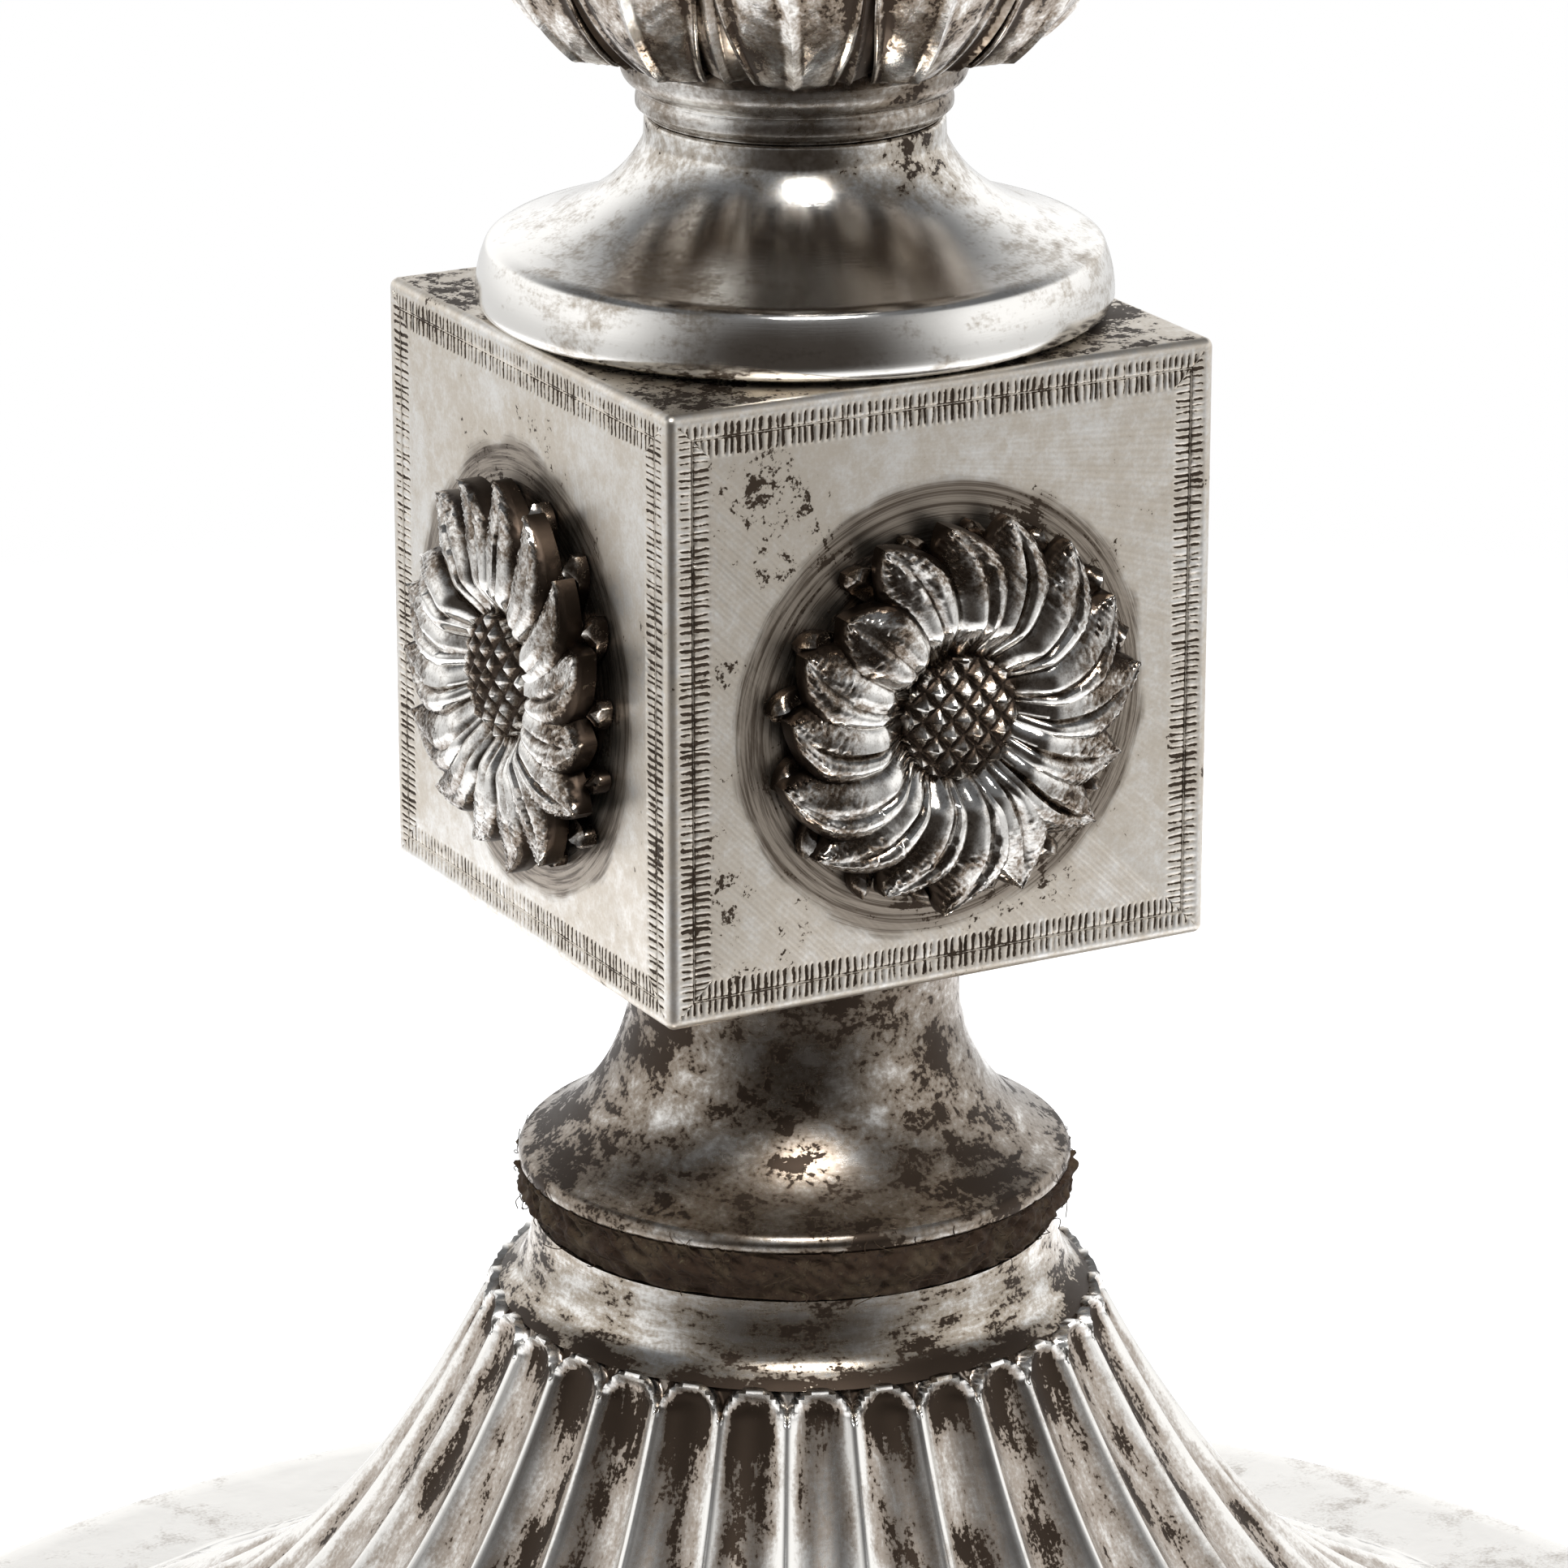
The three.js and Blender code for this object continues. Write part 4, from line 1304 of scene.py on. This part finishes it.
HALO_FILM = "#a0968a"
HALO_STREAK = "#63594f"
HALO_RADIUS = 12.9
# How much the spots and the specks of tarnish count, and at what cover each stage is complete.
SPOT_WEIGHT = 2.3
SPECK_WEIGHT = 0.8
FILM_FULL = 0.62
CRUST_FROM, CRUST_FULL = 0.71, 0.75


def flower_distance(tree, place):
    """Distance of a point on the cube's walls from the axis of that wall's flower."""
    x, y, z = add(tree, "SeparateXYZ", {0: place}, ("X", "Y", "Z"))
    up = add(tree, "Math", {0: z, 1: -FLOWER_HEIGHT * MM}, **PLUS)
    reaches = []
    for across in (x, y):
        spot = add(tree, "CombineXYZ", {0: across, 1: up})
        reaches.append(add(tree, "VectorMath", {0: spot}, ("Value",), operation="LENGTH"))
    return add(tree, "Math", {0: reaches[0], 1: reaches[1]}, operation="MINIMUM")


def halo_round_flowers(tree, place):
    """Where cloth never reached close round the flowers, and the rings left by a tool round them."""
    reach = flower_distance(tree, place)
    wander = add(tree, "TexNoise", {"Vector": place, "Scale": per_mm(5.0), "Detail": 3.0})
    edge = add(tree, "Math", {0: wander, 1: 2.4 * MM, 2: reach}, **TIMES_PLUS)
    outer, inner = (HALO_RADIUS + 1.5) * MM, (HALO_RADIUS + 0.7) * MM
    halo = add(tree, "MapRange", {0: edge, 1: outer, 2: inner}, **SMOOTH)
    close = add(tree, "MapRange", {0: edge, 1: inner, 2: inner - 1.6 * MM}, **SMOOTH)
    slow = add(tree, "Mapping", {"Vector": place, "Scale": (0.05, 0.05, 0.05)})
    ringed = add(tree, "VectorMath", {0: add(tree, "CombineXYZ", {0: reach}), 1: slow}, operation="ADD")
    rings = {"Vector": ringed, "Scale": per_mm(0.28), "Detail": 4.0, "Roughness": 0.7}
    rings = add(tree, "TexNoise", rings)
    return halo, close, rings


def silver(finish, colours):
    """Silver in one of the finishes above: clean metal, a warm film, a brown film and black sulphide."""
    of = SILVER_FINISHES[finish]
    material, tree = new_material(of["name"])
    place = add(tree, "TexCoord", outputs=("Object",))
    lay = add(tree, "Attribute", outputs=("Vector",), attribute_name="turning") if of["turned"] else place
    # The soil mark holds tarnish, and on the cube's walls and the petals also painted light and shade.
    soil = add(tree, "Attribute", outputs=("Fac",), attribute_name="soil")

    # How thick the tarnish lies, from the shape's marks of tarnish and of painted light and shade, and from
    # broad clouds, spots and specks.
    clouds = add(tree, "TexNoise", {"Vector": place, "Scale": per_mm(of["cloud"])})
    run = add(tree, "Mapping", {"Vector": lay, "Scale": of["run"]})
    spots = {"Vector": run, "Scale": per_mm(of["spot"]), "Detail": 9.0, "Roughness": 0.68}
    spots = add(tree, "TexNoise", {**spots, "Distortion": 0.3})
    specks = add(tree, "TexNoise", {"Vector": place, "Scale": per_mm(of["spot"] * 0.18), "Detail": 3.0})
    level = of["ease"] - (of["patchy"] + SPOT_WEIGHT + SPECK_WEIGHT) / 2
    cover = add(tree, "Math", {0: soil, 1: level}, **PLUS)
    for pattern, weight in ((clouds, of["patchy"]), (spots, SPOT_WEIGHT), (specks, SPECK_WEIGHT)):
        cover = add(tree, "Math", {0: pattern, 1: weight, 2: cover}, **TIMES_PLUS)
    halo = None
    if finish == "engraved":
        halo, close, rings = halo_round_flowers(tree, place)
        streak = add(tree, "Math", {0: rings, 1: 1.6, 2: -0.78}, **TIMES_PLUS)
        cover = add(tree, "Math", {0: halo, 1: streak, 2: cover}, **TIMES_PLUS)
        cover = add(tree, "Math", {0: close, 1: 0.2, 2: cover}, **TIMES_PLUS)

    film = add(tree, "MapRange", {0: cover, 1: of["film_from"], 2: FILM_FULL}, **SMOOTH)
    brown = add(tree, "MapRange", {0: cover, 1: of["brown_from"], 2: CRUST_FULL}, **SMOOTH)
    crust = {0: cover, 1: CRUST_FROM, 2: CRUST_FULL, 4: of.get("dark", 1.0)}
    crust = add(tree, "MapRange", crust, **SMOOTH)
    shade = {0: film, 6: linear_of(colours.silver), 7: linear(of["skin"])}
    shade = add(tree, "Mix", shade, (2,), **COLOURS)
    if halo:
        ringed = add(tree, "MapRange", {0: rings, 1: 0.42, 2: 0.6, 4: halo}, **SMOOTH)
        for share, tint in ((halo, HALO_FILM), (ringed, HALO_STREAK)):
            shade = {0: share, 6: shade, 7: linear(tint)}
            shade = add(tree, "Mix", shade, (2,), **COLOURS, blend_type="DARKEN")
    shade = add(tree, "Mix", {0: brown, 6: shade, 7: linear(BROWN_FILM)}, (2,), **COLOURS)
    shade = add(tree, "Mix", {0: crust, 6: shade, 7: linear_of(colours.tarnish)}, (2,), **COLOURS)

    # Smears of the cloth, the film and the sulphide each dull the shine.
    smear = {"Vector": place, "Scale": per_mm(5.0), "Detail": 5.0, "Roughness": 0.7, "Distortion": 1.2}
    smear = add(tree, "TexNoise", smear)
    rough = add(tree, "Math", {0: smear, 1: 0.16, 2: of["gloss"] - 0.08}, **TIMES_PLUS)
    for layer, weight in ((film, 0.1), (crust, 0.22)):
        rough = add(tree, "Math", {0: layer, 1: weight, 2: rough}, **TIMES_PLUS)

    # Relief: the surface's own grain, a hand-worked waviness, polishing lines and the sulphide's edge.
    swell = add(tree, "TexNoise", {"Vector": place, "Scale": per_mm(7.0), "Detail": 1.0})
    grain = add(tree, "TexNoise", {"Vector": place, "Scale": per_mm(of["grain"]), "Detail": 3.0})
    layers = [(grain, of["depth"], 1.0), (swell, 0.05, 1.0)]
    if of["hairs"]:
        combed = add(tree, "Mapping", {"Vector": lay, "Scale": of["comb"]})
        hairs = {"Vector": combed, "Scale": per_mm(1.0), "Detail": 6.0, "Roughness": 0.78}
        hairs = add(tree, "TexNoise", hairs)
        rough = add(tree, "Math", {0: hairs, 1: 0.08, 2: rough}, **TIMES_PLUS)
        layers.append((hairs, 0.006, of["hairs"]))
    if halo:
        layers.append((rings, 0.02, halo))
    layers.append((crust, 0.012, 0.6))
    normal = None
    for height, depth, strength in layers:
        bump_links = {"Strength": strength, "Distance": depth * MM, "Height": height}
        if normal:
            bump_links["Normal"] = normal
        normal = add(tree, "Bump", bump_links, ("Normal",))
    links = {"Base Color": shade, "Metallic": 1.0, "Roughness": rough, "Normal": normal}
    add(tree, "OutputMaterial", {"Surface": add(tree, "BsdfPrincipled", links)}, ())
    return material


def linear_of(value):
    """A colour setting without its property wrapper."""
    return tuple(value)[:3]


def working_metal(name, clean, grain, gloss):
    """A dull working metal with rust or grime in patches and fine pits, for the rod and its fastenings."""
    material, tree = new_material(name)
    place = add(tree, "TexCoord", outputs=("Object",))
    stain = add(tree, "TexNoise", {"Vector": place, "Scale": per_mm(4.0), "Detail": 6.0, "Roughness": 0.65})
    stained = add(tree, "MapRange", {0: stain, 1: 0.35, 2: 0.7}, **SMOOTH)
    shade = add(tree, "Mix", {0: stained, 6: linear_of(clean), 7: linear("#4a3b2e")}, (2,), **COLOURS)
    rough = add(tree, "Math", {0: stain, 1: 0.35, 2: gloss}, **TIMES_PLUS)
    pits = add(tree, "TexNoise", {"Vector": place, "Scale": per_mm(grain), "Detail": 4.0})
    pitted = add(tree, "Bump", {"Strength": 0.8, "Distance": 0.02 * MM, "Height": pits}, ("Normal",))
    links = {"Base Color": shade, "Metallic": 1.0, "Roughness": rough, "Normal": pitted}
    add(tree, "OutputMaterial", {"Surface": add(tree, "BsdfPrincipled", links)}, ())
    return material


def vegetable_tanned_leather(colours):
    """Vegetable-tanned leather, cut and aged: matt dark brown, with rusty patches and pale fibre ends."""
    material, tree = new_material("leather_vegetable_tanned_cut_edge")
    place = add(tree, "TexCoord", outputs=("Object",))
    patches = {"Vector": place, "Scale": per_mm(2.2), "Detail": 5.0, "Roughness": 0.6}
    patches = add(tree, "TexNoise", patches)
    fibres = {"Vector": place, "Scale": per_mm(0.35), "Detail": 6.0, "Roughness": 0.7, "Distortion": 0.6}
    fibres = add(tree, "TexNoise", fibres)
    shade = linear_of(colours.leather)
    for pattern, low, high, tint in (
        (patches, 0.42, 0.66, "#524433"),
        (fibres, 0.58, 0.76, "#6f6650"),
        (fibres, 0.46, 0.32, "#1a120c"),
    ):
        share = add(tree, "MapRange", {0: pattern, 1: low, 2: high}, **SMOOTH)
        shade = add(tree, "Mix", {0: share, 6: shade, 7: linear(tint)}, (2,), **COLOURS)
    frayed = add(tree, "Bump", {"Strength": 1.0, "Distance": 0.12 * MM, "Height": fibres}, ("Normal",))
    links = {"Base Color": shade, "Roughness": 0.82, "Specular IOR Level": 0.35, "Normal": frayed}
    add(tree, "OutputMaterial", {"Surface": add(tree, "BsdfPrincipled", links)}, ())
    return material


def silver_finish(context, finish):
    """The silver material of a finish, made the first time it is asked for."""
    made = bpy.data.materials.get(SILVER_FINISHES[finish]["name"])
    return made or silver(finish, context.scene.candlestick.finish)


# ---------------------------------------------------------------- stage

# Metres: the floor, the middle of its fade, and the distances from there where the fade starts and ends.
FLOOR_RADIUS = 0.32
FADE_MIDDLE = (0.029, 0.053, 0.0)
FADE_FROM, FADE_TO = 0.13, 0.24
# Directions out from the object: to the white sweep, and up.
BEHIND = (0.48, 0.877, 0.0)
UP = (0.0, 0.0, 1.0)


def seamless_floor(colours):
    """Matt white laminate that fades out before its edge, so no line shows where it ends."""
    material, tree = new_material("floor_matt_white_laminate")
    place = add(tree, "TexCoord", outputs=("Object",))
    reach = add(tree, "VectorMath", {0: place, 1: FADE_MIDDLE}, ("Value",), operation="DISTANCE")
    surface = add(tree, "BsdfPrincipled", {"Base Color": linear_of(colours.floor), "Roughness": 0.7})
    fade = add(tree, "MapRange", {0: reach, 1: FADE_FROM, 2: FADE_TO}, **SMOOTH)
    mixed = add(tree, "MixShader", {0: fade, 1: surface, 2: add(tree, "BsdfTransparent")})
    add(tree, "OutputMaterial", {"Surface": mixed}, ())
    return material


def studio_world():
    """A white sweep behind and beside the object, a grey ceiling, and a dim warm room in front."""
    world = bpy.data.worlds.new("studio")
    bpy.context.scene.world = world
    world.use_nodes = True
    tree = world.node_tree
    tree.nodes.clear()
    toward = add(tree, "TexCoord", outputs=("Generated",))
    behind, upward = (
        add(tree, "VectorMath", {0: toward, 1: way}, ("Value",), operation="DOT_PRODUCT")
        for way in (BEHIND, UP)
    )
    sweep = add(tree, "MapRange", {0: behind, 1: -0.95, 2: -0.26}, **SMOOTH)
    height = add(tree, "MapRange", {0: upward, 1: -0.2, 2: 0.15}, **SMOOTH)
    paper = add(tree, "Mix", {0: height, 6: (0.82, 0.82, 0.82), 7: (1.25, 1.25, 1.25)}, (2,), **COLOURS)
    ceiling = add(tree, "MapRange", {0: upward, 1: 0.3, 2: 0.72}, **SMOOTH)
    shade = add(tree, "Mix", {0: sweep, 6: linear("#3f3a36"), 7: paper}, (2,), **COLOURS)
    shade = add(tree, "Mix", {0: ceiling, 6: shade, 7: linear("#6d6e70")}, (2,), **COLOURS)
    seen = add(tree, "LightPath", outputs=("Is Camera Ray",))
    shade = add(tree, "Mix", {0: seen, 6: shade, 7: (1.0, 1.0, 1.0)}, (2,), **COLOURS)
    add(tree, "OutputWorld", {"Surface": add(tree, "Background", {"Color": shade, "Strength": 1.0})}, ())


def toward_direction(azimuth, elevation):
    """Unit vector from the object toward an azimuth and elevation in degrees; azimuth 0 is toward -Y."""
    a, e = radians(azimuth), radians(elevation)
    return Vector((sin(a) * cos(e), -cos(a) * cos(e), sin(e)))


def soft_box(name, azimuth, elevation, distance, width, height, watts):
    """A rectangular lamp, with its size and distance in metres, that faces the knop."""
    lamp = bpy.data.lights.new(name, "AREA")
    lamp.shape = "RECTANGLE"
    lamp.size, lamp.size_y = width, height
    lamp.energy = watts
    box = bpy.data.objects.new(name, lamp)
    direction = toward_direction(azimuth, elevation)
    box.location = KNOP_MIDDLE * MM + direction * distance
    box.rotation_euler = direction.to_track_quat("Z", "Y").to_euler()
    bpy.context.scene.collection.objects.link(box)
    return box


def camera_at(settings):
    """The camera, placed about the knop and turned along its heading and pitch."""
    lens = bpy.data.cameras.new("camera")
    lens.lens = settings.lens
    lens.sensor_width = 36
    lens.clip_start, lens.clip_end = 0.01, 20
    camera = bpy.data.objects.new("camera", lens)
    place = toward_direction(np.degrees(settings.azimuth), np.degrees(settings.elevation))
    camera.location = KNOP_MIDDLE * MM + place * settings.distance
    a, p = settings.heading, settings.pitch
    gaze = Vector((-sin(a) * cos(p), cos(a) * cos(p), -sin(p)))
    camera.rotation_mode = "QUATERNION"
    camera.rotation_quaternion = gaze.to_track_quat("-Z", "Y")
    bpy.context.scene.collection.objects.link(camera)
    bpy.context.scene.camera = camera


def floor_disc(radius):
    """A flat round floor under the object, from its radius in metres."""
    rings = np.linspace(0.04, radius, 12)[:, None] / MM
    angles = round_angles(64)
    rows, columns = len(rings), angles.size
    points = np.concatenate([np.zeros((1, 3)), round_stem(rings, angles, 0).reshape(-1, 3)])
    faces = [(0, 1 + j, 1 + (j + 1) % columns) for j in range(columns)]
    faces += lattice_faces(rows, columns, False, True, 1)
    return make_piece("floor", points, faces)


# ---------------------------------------------------------------- operators


def place_turned(context, name, outline, finish, node, body=STAND, **options):
    """Turns a piece, gives it its finish and lets it stand in for its frame node."""
    piece = turned(name, outline, **options)
    return settle(piece, silver_finish(context, finish), body, "silver", node)


class CANDLESTICK_OT_stage(Operator):
    """Make the floor, the soft lights, the world and the camera"""

    bl_idname = "candlestick.stage"
    bl_label = "Stage"

    def execute(self, context):
        settings = context.scene.candlestick.stage
        floor = floor_disc(FLOOR_RADIUS)
        floor.data.materials.append(seamless_floor(settings))
        studio_world()
        soft_box("key_box", azimuth=-20, elevation=53, distance=1.1, width=0.36, height=0.2, watts=7.0)
        overhead = soft_box(
            "overhead_box", azimuth=151, elevation=70, distance=1.2, width=1.0, height=1.0, watts=22.0
        )
        overhead.visible_glossy = False
        camera_at(settings)
        context.scene.view_settings.view_transform = "Standard"
        return {"FINISHED"}


class CANDLESTICK_OT_foot(Operator):
    """Raise the fluted foot and its ring"""

    bl_idname = "candlestick.foot"
    bl_label = "Fluted foot"

    def execute(self, context):
        foot, neck_height = fluted_foot(context.scene.candlestick.foot)
        settle(foot, silver_finish(context, "raised"), STAND, "silver", "fluted_foot")
        foot.data.materials.append(silver_finish(context, "wiped"))
        for face in foot.data.polygons:
            face.material_index = int(face.center.z > neck_height * MM)
        place_turned(context, "foot_ring_silver", foot_ring_outline(), "raised", "foot_ring", columns=300,
                     soil=0.35, soft=0.15)
        return {"FINISHED"}


class CANDLESTICK_OT_leather(Operator):
    """Cut the leather packing under the spool"""

    bl_idname = "candlestick.leather"
    bl_label = "Leather packing"

    def execute(self, context):
        hide = vegetable_tanned_leather(context.scene.candlestick.finish)
        settle(leather_packing(), hide, STAND, "leather", "leather_washer")
        settle(leather_fibres(), hide, STAND, "leather")
        return {"FINISHED"}


class CANDLESTICK_OT_stem(Operator):
    """Turn the spool, disc, collar, shoulder, rings and column"""

    bl_idname = "candlestick.stem"
    bl_label = "Turned stem"

    def execute(self, context):
        place_turned(context, "spool_silver", hollow(spool_line()), "filmed", "lower_spool", columns=200,
                     soil=0.3, soft=0.18, sway=0.02, seed=1)
        place_turned(context, "disc_silver", hollow(disc_line()), "turned", "flared_disc", columns=200,
                     soil=lambda r, z: 0.1 + 0.5 * smoothstep(DISC_NECK + 3, DISC_NECK, r), soft=0.25,
                     sway=0.02, seed=2)
        place_turned(context, "collar_silver", solid(collar_line()), "filmed", "vase_collar", soft=0.2,
                     soil=0.1, sway=0.03, seed=3)
        place_turned(context, "shoulder_silver", hollow(shoulder_line()), "turned", "vase_shoulder",
                     columns=200, soil=0.2, sway=0.03, seed=4)
        place_turned(context, "neck_ring_silver", solid(ring_line("vase_neck_ring", VASE_NECK, 7.8)),
                     "turned", "vase_neck_ring", soil=0.3)
        place_turned(context, "head_ring_silver", solid(ring_line("column_head_ring", 9.4, 8.6)),
                     "turned", "column_head_ring", soil=0.3)
        settle(fluted_column(), silver_finish(context, "raised"), STAND, "silver", "fluted_column")
        return {"FINISHED"}


class CANDLESTICK_OT_knop(Operator):
    """Fold and engrave the cube knop"""

    bl_idname = "candlestick.knop"
    bl_label = "Engraved cube"

    def execute(self, context):
        cube = cube_knop(context.scene.candlestick.knop)
        settle(cube, silver_finish(context, "engraved"), STAND, "silver", "cube_bottom_plate", "cube_walls",
               "cube_top_plate")
        return {"FINISHED"}


class CANDLESTICK_OT_sunflowers(Operator):
    """Cast the four sunflowers on the cube"""

    bl_idname = "candlestick.sunflowers"
    bl_label = "Sunflowers"

    def execute(self, context):
        for side in SIDES:
            sunflower(side, context.scene.candlestick.flower, silver_finish(context, "cast"))
        return {"FINISHED"}


class CANDLESTICK_OT_leaves(Operator):
    """Chase the leaves round the vase and under the socket"""

    bl_idname = "candlestick.leaves"
    bl_label = "Leaves"

    def execute(self, context):
        settings = context.scene.candlestick.leaf
        thickness = settings.thickness / MM
        for node, name, count, start in (
            ("leaf_calyx", "vase", settings.leaves, outer_radius("vase_collar") - 0.6),
            ("socket_calyx", "socket", settings.leaves * 3 // 4, outer_radius("fluted_column") - 1.4),
        ):
            line = calyx_line(node, start)
            under = bowl(f"{name}_bowl_silver", line)
            settle(under, silver_finish(context, "filmed"), STAND, "silver", node)
            half = pi / count
            for place, finish, shift, shape, seed in (
                ("behind", "filmed", 0.5, (0.98, half * 0.7, 0.05, False), 5),
                ("front", "punched", 0.0, (0.88, half * 0.9, 0.75, True), 6),
            ):
                row = leaf_row(f"{name}_leaves_{place}", line, count, shift, shape, thickness, seed)
                settle(row, silver_finish(context, finish), STAND, "silver")
        return {"FINISHED"}


class CANDLESTICK_OT_socket(Operator):
    """Turn the candle socket and the lift-out pan"""

    bl_idname = "candlestick.socket"
    bl_label = "Socket and pan"

    def execute(self, context):
        place_turned(context, "socket_silver", socket_outline(), "turned", "candle_socket", soil=0.2)
        place_turned(context, "pan_silver", pan_outline(), "turned", "drip_pan", PAN, columns=220,
                     soil=0.25, soft=0.25)
        return {"FINISHED"}


class CANDLESTICK_OT_fastenings(Operator):
    """Give the rod, washer, nut and boss their metals"""

    bl_idname = "candlestick.fastenings"
    bl_label = "Rod and nut"

    def execute(self, context):
        colours = context.scene.candlestick.finish
        iron = working_metal("iron_turned_and_rusted", colours.iron, grain=0.3, gloss=0.35)
        brass = working_metal("brass_cast_and_dulled", colours.brass, grain=0.5, gloss=0.3)
        for node in ("tie_rod", "clamp_washer", "clamp_nut"):
            dress(node, iron)
        dress("rod_boss", brass)
        return {"FINISHED"}


def dress(node, material):
    """A carried-over frame node takes a procedural material in place of its plain one."""
    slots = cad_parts[node].data.materials
    slots.clear()
    slots.append(material)


class CANDLESTICK_PT_panel(Panel):
    """Settings and steps of the candlestick"""

    bl_idname = "CANDLESTICK_PT_panel"
    bl_label = "Silver Candlestick"
    bl_space_type = "VIEW_3D"
    bl_region_type = "UI"
    bl_category = "Candlestick"

    def draw(self, context):
        settings = context.scene.candlestick
        for group in ("foot", "knop", "flower", "leaf", "finish", "stage"):
            box = self.layout.box()
            box.label(text=group.capitalize())
            part = getattr(settings, group)
            for key in type(part).__annotations__:
                box.prop(part, key)
        for step in STEPS:
            self.layout.operator(step.bl_idname)


SETTINGS = (
    FootSettings,
    KnopSettings,
    FlowerSettings,
    LeafSettings,
    FinishSettings,
    StageSettings,
    CandlestickSettings,
)
STEPS = (
    CANDLESTICK_OT_stage,
    CANDLESTICK_OT_foot,
    CANDLESTICK_OT_leather,
    CANDLESTICK_OT_stem,
    CANDLESTICK_OT_knop,
    CANDLESTICK_OT_sunflowers,
    CANDLESTICK_OT_leaves,
    CANDLESTICK_OT_socket,
    CANDLESTICK_OT_fastenings,
)


def register():
    for item in (*SETTINGS, *STEPS, CANDLESTICK_PT_panel):
        bpy.utils.register_class(item)
    bpy.types.Scene.candlestick = PointerProperty(type=CandlestickSettings)


def unregister():
    del bpy.types.Scene.candlestick
    for item in reversed((*SETTINGS, *STEPS, CANDLESTICK_PT_panel)):
        bpy.utils.unregister_class(item)


def main():
    """Builds every piece in order."""
    register()
    bpy.ops.candlestick.stage()
    bpy.ops.candlestick.foot()
    bpy.ops.candlestick.leather()
    bpy.ops.candlestick.stem()
    bpy.ops.candlestick.knop()
    bpy.ops.candlestick.sunflowers()
    bpy.ops.candlestick.leaves()
    bpy.ops.candlestick.socket()
    bpy.ops.candlestick.fastenings()


if __name__ == "__main__":
    main()
